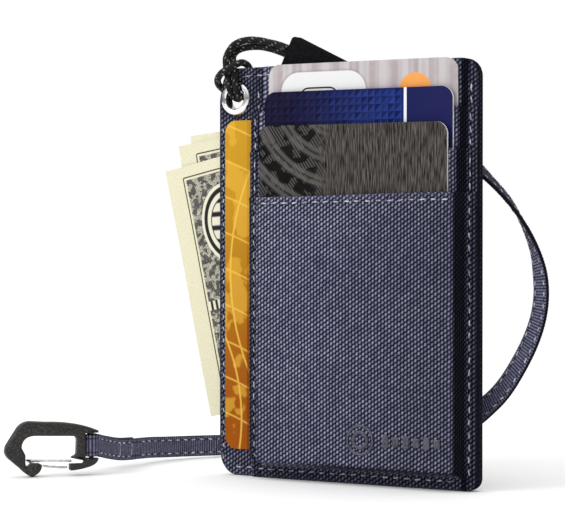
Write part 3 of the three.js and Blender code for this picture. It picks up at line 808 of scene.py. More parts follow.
def stitch_mesh(name, stitches, *replaced, slot="thread", material=THREAD):
    """Small rounded stitches, each given as its centre, direction, outward normal, length, width
    and height."""
    points = []
    faces = []
    rings = 7
    sides = 8
    for centre, direction, outwards, length, width, height in stitches:
        direction = np.asarray(direction, float)
        direction /= np.linalg.norm(direction)
        outwards = np.asarray(outwards, float)
        outwards = outwards - direction * outwards.dot(direction)
        outwards /= np.linalg.norm(outwards)
        sideways = np.cross(direction, outwards)
        start = len(points)
        for k in range(rings):
            angle = math.pi * (0.04 + 0.92 * k / (rings - 1))
            along = -math.cos(angle) * length / 2
            bulge = math.sin(angle) ** 0.6
            sink = (1 - bulge) * height * 0.8
            for j in range(sides):
                turn = 2 * math.pi * j / sides
                offset = direction * along
                offset = offset + sideways * math.cos(turn) * width / 2 * bulge
                offset = offset + outwards * (math.sin(turn) * height / 2 * bulge - sink)
                points.append(np.asarray(centre, float) + offset)
        for face in ring_faces(rings, sides):
            faces.append(tuple(start + index for index in face))
    return place(make_object(name, points, faces), "wallet", slot, material, *replaced)


strap, strap_line, strap_across, strap_normal, strap_distance = flat_run(
    "strap_run",
    [spot for spot, _ in STRAP_ROUTE],
    [direction for _, direction in STRAP_ROUTE],
    STRAP_WIDTH,
    STRAP_THICKNESS,
)
place(strap, "wallet", "webbing", WEBBING, "strap_webbing")


def strap_stitches():
    """Two rows on each face of the strap."""
    rows = []
    for k in range(int((strap_distance[-1] - 8) / STRAP_STITCH_PITCH)):
        index = int(np.searchsorted(strap_distance, 4 + k * STRAP_STITCH_PITCH))
        tangent = strap_line[min(index + 1, len(strap_line) - 1)] - strap_line[index - 1]
        for face in (-1, 1):
            for sideways in (-STRAP_ROW, STRAP_ROW):
                lift = face * (STRAP_THICKNESS / 2 + 0.02)
                centre = strap_line[index] + strap_across[index] * sideways
                centre = centre + strap_normal[index] * lift
                skew = strap_across[index] * draw.uniform(-0.25, 0.25) * np.linalg.norm(tangent)
                length = draw.uniform(1.3, 1.6)
                rows.append((centre, tangent + skew, strap_normal[index] * face, length, *STRAP_THREAD_SIZE))
    return stitch_mesh("strap_stitching", rows)


strap_thread = strap_stitches()

# ---------- the strap's folded end ----------

CLIP_PIVOT = np.array((-65.8, -19.6, 0.0))
CLIP_HEADING = np.array((-0.653, -0.757, 0.0))
CLIP_HEADING /= np.linalg.norm(CLIP_HEADING)
UP = np.array((0.0, 0.0, 1.0))
CLIP_ACROSS = np.cross(CLIP_HEADING, UP)
PIVOT_U = -2.8
WRAP_OUTER = 1.5
WRAP_INNER = 0.98
FOLD_SPREAD = 0.47


def folded_end():
    """The end of the webbing: up one side, round the clip's end bar and back down the other."""
    centres, _, _ = sample_route(FOLD_ROUTE, step=0.3)
    tangents = tangents_of(centres)
    side = np.cross(tangents, UP)
    side /= np.linalg.norm(side, axis=1, keepdims=True)
    layer = (WRAP_OUTER + WRAP_INNER) / 2
    settle = smooth_step(np.arange(len(centres)) / 9.0)[:, None]
    spread = layer * (1 - settle) + FOLD_SPREAD * settle
    near = centres - side * spread
    far = centres + side * spread
    pivot = CLIP_PIVOT + UP * FOLD_ROUTE[0][2]
    start = math.atan2(*(near[0] - pivot)[1::-1])
    end = math.atan2(*(far[0] - pivot)[1::-1])
    turn = (end - start) % (2 * math.pi)
    if turn < math.pi:
        turn -= 2 * math.pi
    arc = []
    for k in range(1, 20):
        angle = start + turn * k / 20
        arc.append(pivot + layer * np.array((math.cos(angle), math.sin(angle), 0)))
    # The top layer is sewn on a little high, so its edge shows over the one below.
    high = UP * 0.3
    path = [point + high for point in near[::-1]] + arc + list(far)
    return np.array(path)


fold_path = folded_end()
fold_widths = [(0, 0, 1)] * len(fold_path)
fold, fold_line, fold_across, fold_normal, fold_distance = flat_run(
    "strap_fold_over", fold_path, fold_widths, STRAP_WIDTH, FOLD_LAYER
)
place(fold, "wallet", "webbing", WEBBING, "strap_fold")


def fold_stitches():
    """Rows along both edges of the fold and rows across it, on both faces of the webbing."""
    rows = []
    length = fold_distance[-1]
    run = 24.0

    def stitch(along, sideways, lengthways):
        index = int(np.clip(np.searchsorted(fold_distance, along), 1, len(fold_line) - 2))
        tangent = fold_line[index + 1] - fold_line[index - 1]
        tangent /= np.linalg.norm(tangent)
        direction = tangent if lengthways else fold_across[index]
        out = fold_normal[index]
        for sign in (-1, 1):
            lift = sign * (FOLD_LAYER / 2 + 0.02)
            centre = fold_line[index] + fold_across[index] * sideways + out * lift
            rows.append((centre, direction, out * sign, draw.uniform(1.2, 1.5), *STRAP_THREAD_SIZE))

    for base in (0.0, length - run):
        for k in range(int(run / STRAP_STITCH_PITCH)):
            for sideways in (-STRAP_ROW, STRAP_ROW):
                stitch(base + 1.2 + k * STRAP_STITCH_PITCH, sideways, True)
    for cross in (2.2, 8.2, length - 8.2, length - 2.2):
        for sideways in (-1.1, 0.0, 1.1):
            stitch(cross, sideways, False)
    return stitch_mesh("fold_stitching", rows)


fold_thread = fold_stitches()

# ---------- the clip ----------

CLIP_THICKNESS = 3.2
CLIP_BEVEL = 0.55
GATE_WIRE = 0.7
SLOT_LEFT = -1.1
SLOT_BOTTOM = 4.4
SLOT_TOP = 10.9

# The clip's outline along its heading and up, as corners, or control and end points.
CLIP_OUTLINE = [
    ((13.2, 0),), ((14.4, 0.4), (16.3, 2.3)), ((19.3, 4.9),), ((20.8, 6.4), (19.6, 8.5)),
    ((16.8, 12.8),), ((15.6, 14.3), (13.6, 14.4)), ((9.5, 14.1),), ((1.1, 14.1), (-4.5, 11.6)),
    ((-4.6, SLOT_TOP + 0.1),), ((SLOT_LEFT, SLOT_TOP),), ((SLOT_LEFT, SLOT_BOTTOM),),
    ((-4.6, SLOT_BOTTOM - 0.1),), ((-4.4, 3), (-2.7, 2.3)), ((0, 1.4), (2.8, 1.3)),
    ((3, 1.5),), ((3, 3),), ((-0.6, 3),), ((-1.1, 3.7), (-0.6, 4.3)), ((2.5, 4.5),),
    ((2.4, 4.9),), ((1.3, 5), (1.25, 5.8)), ((1.15, 9.2),), ((1.2, 10.2), (2.4, 10.3)),
    ((12.6, 10.6),), ((15.6, 10.4), (15.8, 7.6)), ((14.8, 5.7),), ((14.8, 3.7),),
    ((14.8, 2.7), (14.1, 2.7)), ((13.2, 3.4),), ((11.1, 3.4),), ((10.3, 3), (10.6, 2)),
    ((11.2, 0.8), (12, 0.5)), ((12.6, 0), (13.2, 0)),
]


def clip_point(u, v, out):
    return CLIP_PIVOT + CLIP_HEADING * (u - PIVOT_U) + UP * v + CLIP_ACROSS * out


def outline_points(segments, steps=6):
    """The points of an outline of corners and of curves with one control point."""
    points = []
    for segment in segments:
        if len(segment) == 1:
            points.append(segment[0])
            continue
        control, end = segment
        start = points[-1]
        for k in range(1, steps + 1):
            t = k / steps
            points.append(tuple(
                (1 - t) ** 2 * a + 2 * t * (1 - t) * b + t * t * c
                for a, b, c in zip(start, control, end)
            ))
    if np.hypot(*(np.array(points[0]) - np.array(points[-1]))) < 1e-6:
        points.pop()
    return points


def bevelled_plate(name, outlines, half, bevel, to_place):
    """A plate with rounded edges from closed outlines, the first outside and the others holes."""
    data = bpy.data.curves.new(name, "CURVE")
    data.dimensions = "2D"
    data.fill_mode = "BOTH"
    data.extrude = half - bevel
    data.bevel_depth = bevel
    data.bevel_resolution = 3
    data.offset = -bevel
    for outline in outlines:
        spline = data.splines.new("POLY")
        spline.points.add(len(outline) - 1)
        for point, (u, v) in zip(spline.points, outline):
            point.co = (u, v, 0, 1)
        spline.use_cyclic_u = True
    source = bpy.data.objects.new(name + "_source", data)
    bpy.context.scene.collection.objects.link(source)
    graph = bpy.context.evaluated_depsgraph_get()
    mesh = bpy.data.meshes.new_from_object(source.evaluated_get(graph))
    points = [to_place(vertex.co.x, vertex.co.y, vertex.co.z) for vertex in mesh.vertices]
    faces = [tuple(face.vertices) for face in mesh.polygons]
    bpy.data.objects.remove(source)
    bpy.data.curves.remove(data)
    bpy.data.meshes.remove(mesh)
    made = make_object(name, points, faces)
    weld(made)
    return made


SHARP_ANGLE = math.radians(38)


def weld(made, distance=0.00001):
    """Joins points that coincide, turns faces outwards and keeps sharp edges flat."""
    mesh = bmesh.new()
    mesh.from_mesh(made.data)
    bmesh.ops.remove_doubles(mesh, verts=mesh.verts, dist=distance)
    bmesh.ops.recalc_face_normals(mesh, faces=mesh.faces)
    for edge in mesh.edges:
        if len(edge.link_faces) == 2 and edge.calc_face_angle(0) > SHARP_ANGLE:
            edge.smooth = False
    mesh.to_mesh(made.data)
    mesh.free()


def tube(name, route, diameter, sides=16):
    """A round wire or rod with domed ends, along a route given like the clip's outline."""
    centres, _, distance = sample_route([clip_point(*spot) for spot in route], step=0.2)
    tangents = tangents_of(centres)
    normal = np.cross(tangents[0], (0.3, 0.2, 0.9))
    points = []
    length = distance[-1]
    for centre, tangent, along in zip(centres, tangents, distance):
        normal = normal - tangent * normal.dot(tangent)
        normal /= np.linalg.norm(normal)
        side = np.cross(tangent, normal)
        radius = diameter / 2
        rim = min(along, length - along) / radius
        radius *= math.sqrt(max(1 - (1 - min(rim, 1)) ** 2, 0.04))
        for k in range(sides):
            angle = 2 * math.pi * k / sides
            points.append(centre + radius * (math.cos(angle) * normal + math.sin(angle) * side))
    return make_object(name, points, ring_faces(len(centres), sides))


def join_objects(name, pieces):
    """One mesh object from several, in the order given."""
    points = []
    faces = []
    for piece in pieces:
        start = len(points)
        points += [tuple(vertex.co / MM) for vertex in piece.data.vertices]
        faces += [tuple(start + k for k in face.vertices) for face in piece.data.polygons]
        bpy.data.objects.remove(piece)
    made = make_object(name, points, faces)
    weld(made)
    return made


def clip_body():
    outline = outline_points(CLIP_OUTLINE)
    frame_plate = bevelled_plate("clip_plate", [outline], CLIP_THICKNESS / 2, CLIP_BEVEL, clip_point)
    bar_route = [(PIVOT_U, SLOT_BOTTOM - 1.2 + k, 0) for k in range(10)]
    bar = tube("clip_bar", bar_route, 1.25)
    body = join_objects("clip_hook", [frame_plate, bar])
    return place(body, "clip", "clip_plastic", CLIP, "clip_frame")


GATE_ROUTE = [
    (2.4, 3.75, 0), (6, 3.85, 0), (10, 4.0, 0), (12.9, 4.1, 0.2), (14.0, 4.1, 1.3),
    (13.4, 3.7, 2.2), (11.6, 2.9, 2.3), (9, 2.4, 2.0), (6, 2.1, 1.4), (3.35, 1.95, 1),
]

hook = clip_body()
gate = tube("clip_wire_gate", GATE_ROUTE, GATE_WIRE)
place(gate, "gate", "gate_wire", WIRE, "clip_gate")

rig.cord(
    strap,
    exit=[value * MM for value in STRAP_ROUTE[-1][0]],
    length=strap_distance[-1] * MM,
    diameter=STRAP_WIDTH * MM,
    far_end="connector",
    stiffness="medium",
    lay="loose",
    path=(strap_line * MM).tolist(),
    with_pieces=[strap_thread, fold, fold_thread, hook, gate],
)

# ---------- the sleeve between cord and strap ----------

TAB_START = np.array((-19.9, 4.5, 110.1))
TAB_END = np.array((-2.1, 4.5, 101.5))
TAB_WIDTH = 9.4
TAB_LEAF = 0.7


def rounded_box_outline(left, bottom, right, top, radius, steps=8):
    points = []
    corners = ((right - radius, bottom + radius, -90), (right - radius, top - radius, 0),
               (left + radius, top - radius, 90), (left + radius, bottom + radius, 180))
    for x, z, start in corners:
        for k in range(steps + 1):
            angle = math.radians(start + 90 * k / steps)
            points.append((x + radius * math.cos(angle), z + radius * math.sin(angle)))
    return points


def domed_plate(name, outline, front, back, rings=7, edge=0.25, dome=0.0, to_place=None):
    """A thin plate with a shallow groove beside each face's rim; on both faces, rings of the
    outline shrink towards the middle. front and back are its faces in Y, and dome is how far the
    middle stands out."""
    outline = np.array(outline)
    centre = outline.mean(axis=0)
    half = (back - front) / 2
    middle = (back + front) / 2
    edge = min(edge, half)
    directions = np.roll(outline, -1, axis=0) - np.roll(outline, 1, axis=0)
    normals = np.stack([directions[:, 1], -directions[:, 0]], axis=1)
    normals /= np.linalg.norm(normals, axis=1, keepdims=True)
    layers = [(outline, half - edge)]
    for k in range(1, 5):
        angle = math.pi / 2 * k / 4
        inset = edge * (1 - math.cos(math.pi / 2 - angle))
        layers.append((outline - normals * inset, half - edge + edge * math.sin(angle)))
    last = layers[-1][0]
    for share in np.linspace(0.0, 1.0, rings + 2)[1:-1]:
        layers.append((last + (centre - last) * share, half + dome * math.sin(math.pi / 2 * share)))
    points = []
    for sign, stack in ((-1, layers[::-1]), (1, layers)):
        for ring, height in stack:
            y = middle + sign * height
            points += [to_place(u, v, y) if to_place else (u, y, v) for u, v in ring]
    made = make_object(name, points, ring_faces(2 * len(layers), len(outline)))
    weld(made)
    return made


def add_sleeve():
    along = TAB_END - TAB_START
    length = float(np.linalg.norm(along))
    along /= length
    across = np.array((-along[2], 0, along[0]))
    outline = rounded_box_outline(0, -TAB_WIDTH / 2, length, TAB_WIDTH / 2, 1.1)

    def to_place(u, v, y):
        return TAB_START * (1, 0, 1) + along * u + across * v + np.array((0, y, 0))

    for name, side in (("tab_front", -1), ("tab_back", 1)):
        inner = TAB_START[1] + side * (STRAP_THICKNESS / 2 + 0.02)
        front, back = sorted((inner, inner + side * (TAB_LEAF + 0.08)))
        leaf = domed_plate(name + "_leaf", outline, front, back, edge=0.3, dome=0.12, to_place=to_place)
        place(leaf, "wallet", "tab_rubber", SLEEVE, name)
    rows = []
    inset = 0.9
    pitch = 1.9
    for k in range(int((length - 2 * inset) / pitch) + 1):
        for v in (-TAB_WIDTH / 2 + inset, TAB_WIDTH / 2 - inset):
            for side in (-1, 1):
                y = TAB_START[1] + side * (STRAP_THICKNESS / 2 + TAB_LEAF + 0.1)
                centre = to_place(inset + 0.4 + k * pitch, v, y)
                rows.append((centre, along, (0, side, 0), 1.25, 0.32, 0.2))
    stitch_mesh("tab_stitching", rows, slot="tab_rubber", material=SLEEVE)


add_sleeve()

# ---------- cloth panels ----------

GRID = 0.5
ROLL = 0.28
PUFF = 0.16
BASE_PUFF = 0.14
LEFT_FULLNESS = 0.8
CORD_LEVEL = 103


def over_cards(x, z):
    left = smooth_step((x - CARDS_LEFT + SLOPE) / SLOPE)
    right = smooth_step((CARDS_RIGHT + SLOPE - x) / SLOPE)
    bottom = smooth_step((z - CARDS_BOTTOM + BOTTOM_SLOPE) / BOTTOM_SLOPE)
    return left * right * bottom


def over_side_card(x, z):
    bottom = smooth_step((z - SIDE_CARD_BOTTOM + SIDE_FALL) / SIDE_FALL)
    top = smooth_step((SIDE_CARD_TOP + SIDE_FALL - z) / SIDE_FALL)
    return bottom * top * (x < 0)


def ripple(x, z, scale, seed):
    """A soft sum of waves between about -1 and 1, the same each run."""
    source = random.Random(seed)
    total = np.zeros_like(x)
    for _ in range(6):
        angle = source.uniform(0, math.pi)
        wave = source.uniform(0.6, 1.6) / scale
        phase = source.uniform(0, 2 * math.pi)
        total += np.sin((x * math.cos(angle) + z * math.sin(angle)) * wave * 2 * math.pi + phase)
    return total / 4


def pucker(x, z, rows):
    """How far a sewn cloth is pulled down: 1 at the needle holes, less between them."""
    pulled = np.zeros_like(x)
    for (x0, z0), (x1, z1) in rows:
        length = math.hypot(x1 - x0, z1 - z0)
        ux, uz = (x1 - x0) / length, (z1 - z0) / length
        along = (x - x0) * ux + (z - z0) * uz
        off = (x - x0) * uz - (z - z0) * ux
        band = np.exp(-(off / 0.62) ** 2)
        wave = 0.62 + 0.38 * np.cos(2 * math.pi * along / STITCH_PITCH)
        on = smooth_step((along + 1) / 1.5) * smooth_step((length + 1 - along) / 1.5)
        pulled = np.maximum(pulled, band * wave * on)
    return pulled


def stitch_row(rows, surface, outward, start, end):
    """Adds stitches on a line, each lying on the surface that is given as a function of x and z."""
    (x0, z0), (x1, z1) = start, end
    length = math.hypot(x1 - x0, z1 - z0)
    ux, uz = (x1 - x0) / length, (z1 - z0) / length
    for k in range(max(int(length / STITCH_PITCH), 1)):
        along = (k + 0.5) * STITCH_PITCH
        x = x0 + ux * along + draw.uniform(-1, 1) * STITCH_WOBBLE * uz
        z = z0 + uz * along + draw.uniform(-1, 1) * STITCH_WOBBLE * ux
        y = float(surface(np.array(x), np.array(z)))
        reach = 0.7
        ahead = float(surface(np.array(x + ux * reach), np.array(z + uz * reach)))
        behind = float(surface(np.array(x - ux * reach), np.array(z - uz * reach)))
        slant = draw.uniform(-0.05, 0.25)
        direction = (ux - slant * uz, (ahead - behind) / (2 * reach), uz + slant * ux)
        size = STITCH_LENGTH * draw.uniform(0.9, 1.08)
        rows.append(((x, y + STITCH_LIFT * outward, z), direction, (0, outward, 0), size, *STITCH_SIZE))


def corner_inset(z, top_corner):
    """How far the right edge comes in at the height z, rounded below and, if asked, at the top."""
    low = np.clip(FOOT_CORNER - z, 0, FOOT_CORNER)
    inset = FOOT_CORNER - np.sqrt(FOOT_CORNER**2 - low**2)
    if top_corner:
        high = np.clip(z - (HEIGHT - CORNER), 0, CORNER)
        inset = inset + CORNER - np.sqrt(np.maximum(CORNER**2 - high**2, 0))
    return inset


def left_inset(z):
    """How far the left edge comes in at the height z. Below the cord it stands a little full."""
    low = np.clip(CORNER - z, 0, CORNER)
    high = np.clip(z - (HEIGHT - CORNER), 0, CORNER)
    inset = 2 * CORNER - np.sqrt(CORNER**2 - low**2) - np.sqrt(np.maximum(CORNER**2 - high**2, 0))
    full = smooth_step((CORD_LEVEL - z) / 6) * smooth_step(z / 8)
    return inset - LEFT_FULLNESS * full


def closed_sheet(near, far):
    """Points and faces of a thin closed body between two grids of points, (rows, columns, 3)."""
    rows, cols, _ = near.shape
    layer = rows * cols
    faces = []
    for i in range(rows - 1):
        for j in range(cols - 1):
            a = i * cols + j
            faces.append((a, a + 1, a + 1 + cols, a + cols))
            faces.append((a + layer, a + cols + layer, a + 1 + cols + layer, a + 1 + layer))
    border = list(range(cols))
    border += [i * cols + cols - 1 for i in range(1, rows)]
    border += [(rows - 1) * cols + j for j in range(cols - 2, -1, -1)]
    border += [i * cols for i in range(rows - 2, 0, -1)]
    for k, a in enumerate(border):
        b = border[(k + 1) % len(border)]
        faces.append((b, a, a + layer, b + layer))
    points = np.concatenate([near.reshape(-1, 3), far.reshape(-1, 3)])
    return points, faces


def cloth_panel(name, node, left, top, front, back, wear, shade, round_left, top_corner):
    """A closed cloth sheet over a fine grid. front, back, wear and shade are functions of x and z;
    the edges are rolled, so that they look turned in."""
    columns = int(round((RIGHT - left) / GRID)) + 1
    levels = int(round(top / GRID)) + 1
    share_x = np.linspace(0, 1, columns)
    share_z = np.linspace(0, 1, levels)
    # Two extra lines close to each edge give the roll its curve.
    extra_x = np.array([0.1, 0.25]) / (RIGHT - left)
    extra_z = np.array([0.1, 0.25]) / top
    share_x = np.unique(np.concatenate([share_x, extra_x, 1 - extra_x]))
    share_z = np.unique(np.concatenate([share_z, extra_z, 1 - extra_z]))
    sx, sz = np.meshgrid(share_x, share_z)
    z = sz * top
    right_edge = RIGHT - corner_inset(z, top_corner)
    left_edge = left + (left_inset(z) if round_left else 0)
    x = left_edge + sx * (right_edge - left_edge)
    near = front(x, z)
    far = back(x, z)
    middle = (near + far) / 2
    half = (far - near) / 2
    edge = np.minimum(np.minimum(x - left_edge, right_edge - x), np.minimum(z, top - z))
    rounding = np.sqrt(np.clip(1 - (1 - np.clip(edge / ROLL, 0, 1)) ** 2, 0.02, 1))
    near = middle - half * rounding
    far = middle + half * rounding
    worn = np.clip(1 - edge / 0.9, 0, 1) + wear(x, z)
    # Painted shade on the side faces along the right edge.
    dark = np.maximum(shade(x, z), smooth_step(1.3 - (right_edge - x) / 0.3))
    points, faces = closed_sheet(np.stack([x, near, z], axis=-1), np.stack([x, far, z], axis=-1))
    values = {
        "wear": np.clip(np.concatenate([worn.ravel(), worn.ravel()]), 0, 1),
        "shade": np.clip(np.concatenate([dark.ravel(), dark.ravel()]), 0, 1),
    }
    return place(make_object(name, points, faces, values=values), "wallet", "fabric", FABRIC, node)


POCKETS = {
    "pocket_backing": ((-0.46, -0.26), (-1.74, -1.24), (-1.72, -1.22), HEIGHT),
    "rear_pocket": ((-0.76, -0.5), (-2.11, -1.78), (-3.22, -2.72), 94.4),
    "middle_pocket": ((-1.1, -0.8), (-2.51, -2.15), (-4.72, -4.22), 84.1),
    "front_pocket": ((-1.5, -1.14), (-2.95, -2.55), (-6.32, -5.72), 73.3),
}

SEAM_X = 35.3
SEAM_Z = 2.15
COLUMN_X = -25.85
GROOVE_X = -24.95
BORDER_X = -37.0
TOP_ROW_Z = 104.0
LEFT_ROW_SUNK = 0.13
HEM_DROP = 1.7
STITCH_SHADE = 0.6
# The front pocket's mouth sags towards the column.
MOUTH_FALL = 0.9
HEM_FALL = 0.93 * MOUTH_FALL

EYELET_X = -33.2
EYELET_Z = 98.2
EYELET_HOLE = 2.7
EYELET_BARREL = 3.05
EYELET_FLANGE = 4.38
PANEL_HOLE = 3.1


def sheet_level(sheet, face, x, z):
    """Where a pocket sheet's face lies in Y: at the seam, over the side card or over the cards."""
    seam, side, cards, _ = sheet
    on_cards = over_cards(x, z)
    on_side = over_side_card(x, z) * (1 - on_cards)
    return seam[face] + on_cards * (cards[face] - seam[face]) + on_side * (side[face] - seam[face])


def seam_rows(top):
    return [
        ((STACK_LEFT, SEAM_Z), (SEAM_X, SEAM_Z)),
        ((SEAM_X, SEAM_Z), (SEAM_X, top)),
        ((COLUMN_X, SEAM_Z), (COLUMN_X, top)),
    ]


def pocket_rows(name):
    """The lines that a pocket sheet is sewn along."""
    top = POCKETS[name][3]
    rows = seam_rows(top)
    level = TOP_ROW_Z if name == "pocket_backing" else top - HEM_DROP
    rows.append(((STACK_LEFT, level), (SEAM_X, level)))
    return rows


def pocket_surfaces(name):
    """The front and back of a pocket sheet, with its puffing between the sewn lines."""
    sheet = POCKETS[name]
    top = sheet[3]
    rows = pocket_rows(name)

    def front(x, z):
        level = sheet_level(sheet, 0, x, z)
        puff = PUFF * (1 - pucker(x, z, rows))
        wave = 0.1 * ripple(x, z, 26, len(name)) * over_cards(x, z)
        hem = 0.14 * smooth_step((z - top + 1.5) / 0.5) * (0 if name == "pocket_backing" else 1)
        return level - puff - wave - hem

    def back(x, z):
        return sheet_level(sheet, 1, x, z)

    return front, back


def groove_shade(x, z):
    """Painted shade: a deep painted shadow where the raised front falls to the sewn edges, painted darkening of the
    edges themselves, and a painted falloff of light across the front, which deepens towards the right."""
    groove = 0.97 * np.exp(-((x - GROOVE_X) / 0.35) ** 2)
    fallen = CARDS_RIGHT + SLOPE
    right = smooth_step((x - CARDS_RIGHT + 0.1) / 0.4) * smooth_step((fallen + 0.15 - x) / 0.4)
    flange = 0.72 * smooth_step((x - CARDS_RIGHT - SLOPE) / 0.3)
    column = 0.7 * smooth_step((GROOVE_X - x) / 0.3)
    low = 0.6 * smooth_step((3.2 - z) / 0.5)
    slope = 0.93 * np.exp(-((z - 4.2) / 0.9) ** 2) * smooth_step((x + 20) / 20)
    # Painted falloff of light across the front, darker to the right.
    tone = 0.4 * smooth_step((x + 12) / 46)
    return np.clip(np.maximum.reduce([groove, right, flange, column, low, slope, tone]), 0, 1)


def pocket_shade(name):
    """The sewn grooves get painted shade, darker than the cloth between them."""
    rows = pocket_rows(name)

    def shade(x, z):
        return np.maximum(groove_shade(x, z), STITCH_SHADE * pucker(x, z, rows))
    return shade


def hem_wear(top):
    """Rubbed threads along a sheet's folded mouth and over the cards' right edge."""
    def wear(x, z):
        fold = np.exp(-((z - top + 0.2) / 0.5) ** 2)
        rub = 0.35 * np.exp(-((x - CARDS_RIGHT + 0.4) / 0.6) ** 2) * over_cards(x - 1.5, z)
        return 0.5 * fold + rub
    return wear


pockets = {}
for pocket in POCKETS:
    pocket_front, pocket_back = pocket_surfaces(pocket)
    pocket_top = POCKETS[pocket][3]
    made_sheet = cloth_panel(
        pocket + "_cloth", pocket, STACK_LEFT, pocket_top, pocket_front, pocket_back,
        hem_wear(pocket_top), pocket_shade(pocket), False, pocket == "pocket_backing",
    )
    pockets[pocket] = (made_sheet, pocket_front)


def mouth_fall(x):
    """How far the front pocket's mouth has sagged at x."""
    return MOUTH_FALL * float(smooth_step((CARDS_RIGHT - x) / (CARDS_RIGHT - CARDS_LEFT)))


def sag_mouth():
    """Lets the front pocket's mouth fall towards the column, less and less further down."""
    top = POCKETS["front_pocket"][3]
    for vertex in pockets["front_pocket"][0].data.vertices:
        share = float(smooth_step((vertex.co.z / MM - top + 9) / 9))
        vertex.co.z -= mouth_fall(vertex.co.x / MM) * share * MM


sag_mouth()


def nothing(x, z):
    return np.zeros_like(x)


def base_front(x, z):
    edge_rows = [((BORDER_X, 1.5), (BORDER_X, 104))]
    left_side = smooth_step((-28.6 - x) / 0.6)
    return BASE_Y[0] - 0.02 - left_side * BASE_PUFF * (1 - pucker(x, z, edge_rows))


def base_shade(x, z):
    """Painted shade: some over the whole base and more on the turned edge, a painted shadow close to the pocket
    column, and a painted shadow ring round the eyelet.
    """
    column = 0.75 * np.exp(-((x - STACK_LEFT + 0.2) / 0.5) ** 2)
    # A painted shadow ring round the eyelet, off towards its lower right.
    reach = np.hypot(x - EYELET_X - 0.5, z - EYELET_Z + 0.2)
    pressed = 0.85 * np.exp(-((reach - EYELET_FLANGE - 0.3) / 0.6) ** 2)
    edge = 0.34 + 0.2 * smooth_step((-36.4 - x) / 0.5)
    return np.maximum.reduce([edge, column, pressed])


def base_back(x, z):
    return np.full_like(x, BASE_Y[1])


def cut_hole(made):
    """Takes the faces inside the eyelet's hole out of a panel and lines the edge."""
    mesh = bmesh.new()
    mesh.from_mesh(made.data)
    radius = PANEL_HOLE * MM
    centre = Vector((EYELET_X * MM, 0, EYELET_Z * MM))
    inside = []
    for face in mesh.faces:
        offset = face.calc_center_median() - centre
        if math.hypot(offset.x, offset.z) < radius:
            inside.append(face)
    bmesh.ops.delete(mesh, geom=inside, context="FACES")
    rims = [edge for edge in mesh.edges if len(edge.link_faces) == 1]
    for vertex in {vertex for edge in rims for vertex in edge.verts}:
        dx = vertex.co.x - centre.x
        dz = vertex.co.z - centre.z
        scale = radius / math.hypot(dx, dz)
        vertex.co.x = centre.x + dx * scale
        vertex.co.z = centre.z + dz * scale
    bmesh.ops.bridge_loops(mesh, edges=rims)
    mesh.to_mesh(made.data)
    mesh.free()


base = cloth_panel(
    "base_cloth", "base_panel", LEFT, HEIGHT, base_front, base_back, nothing, base_shade, True, True
)
cut_hole(base)


def back_rows():
    low = SEAM_Z
    high = HEIGHT - SEAM_Z
    return [
        ((LEFT + 3, low), (SEAM_X, low)),
        ((SEAM_X, low), (SEAM_X, high)),
        ((LEFT + 3, high), (SEAM_X, high)),
        ((BORDER_X, low), (BORDER_X, high)),
    ]


def back_rear(x, z):
    """The back bulges a little over the folded notes and is pulled flat at its seams."""
    edge = np.minimum(np.minimum(x - LEFT, RIGHT - x), np.minimum(z, HEIGHT - z))
    belly = 0.35 * smooth_step(edge / 12) + 0.1 * ripple(x, z, 30, 4) * smooth_step(edge / 8)
    return BACK_Y[1] - PUFF + PUFF * (1 - pucker(x, z, back_rows())) + belly


def back_inner(x, z):
    """The right, top and bottom edges are turned in to meet the base."""
    edge = np.minimum(RIGHT - x, np.minimum(z, HEIGHT - z))
    corner = smooth_step((x - LEFT - 2.5) / 1.2)
    turned = smooth_step((1.5 - edge) / 0.35) * corner
    return BACK_Y[0] - turned * (BACK_Y[0] - BASE_Y[1] - 0.05)


rear = cloth_panel(
    "back_cloth", "back_panel", LEFT, HEIGHT, back_inner, back_rear, nothing, nothing, True, True
)
cut_hole(rear)

# ---------- the lining ----------

LINING_LEFT = -36.6
LINING_BOTTOM = 1.8
LINING_TOP = 104.5
LINING_Y = (0.36, 0.48)


def lining_sheet():
    """A thin foil sheet between the notes and the base, slightly creased."""
    x, z = np.meshgrid(
        np.linspace(LINING_LEFT, RIGHT - LINING_BOTTOM, 74),
        np.linspace(LINING_BOTTOM, LINING_TOP, 104),
    )
    crease = 0.02 * ripple(x, z, 9, 2)
    near = np.stack([x, LINING_Y[0] + crease, z], axis=-1)
    far = np.stack([x, LINING_Y[1] + crease, z], axis=-1)
    points, faces = closed_sheet(near, far)
    made = make_object("lining_foil", points, faces)
    cut_hole(made)
    return place(made, "wallet", "lining", LINING, "shield_lining")


foil = lining_sheet()

# ---------- stitches on the panels ----------


def under_card(x, z):
    """The base's left row is pulled tight, so the gold card slides out over it."""
    return base_front(x, z) + LEFT_ROW_SUNK


def upright_row(x, low, top_gap):
    """Stitches up the pocket sheets at x, each stretch on the sheet that is in front there."""
    rows = []
    for name in reversed(POCKETS):
        high = min(POCKETS[name][3], HEIGHT - top_gap)
        stitch_row(rows, pockets[name][1], -1, (x, low), (x, high))
        low = high
    return rows


def hem_rows():
    rows = []
    for name in ("front_pocket", "middle_pocket", "rear_pocket"):
        z = POCKETS[name][3] - HEM_DROP
        fall = HEM_FALL if name == "front_pocket" else 0
        stitch_row(rows, pockets[name][1], -1, (CARDS_LEFT + 0.4, z - fall), (SEAM_X - 0.5, z))
    top_sheet = pockets["pocket_backing"][1]
    stitch_row(rows, top_sheet, -1, (STACK_LEFT + 0.3, TOP_ROW_Z), (SEAM_X - 2, TOP_ROW_Z))
    return rows


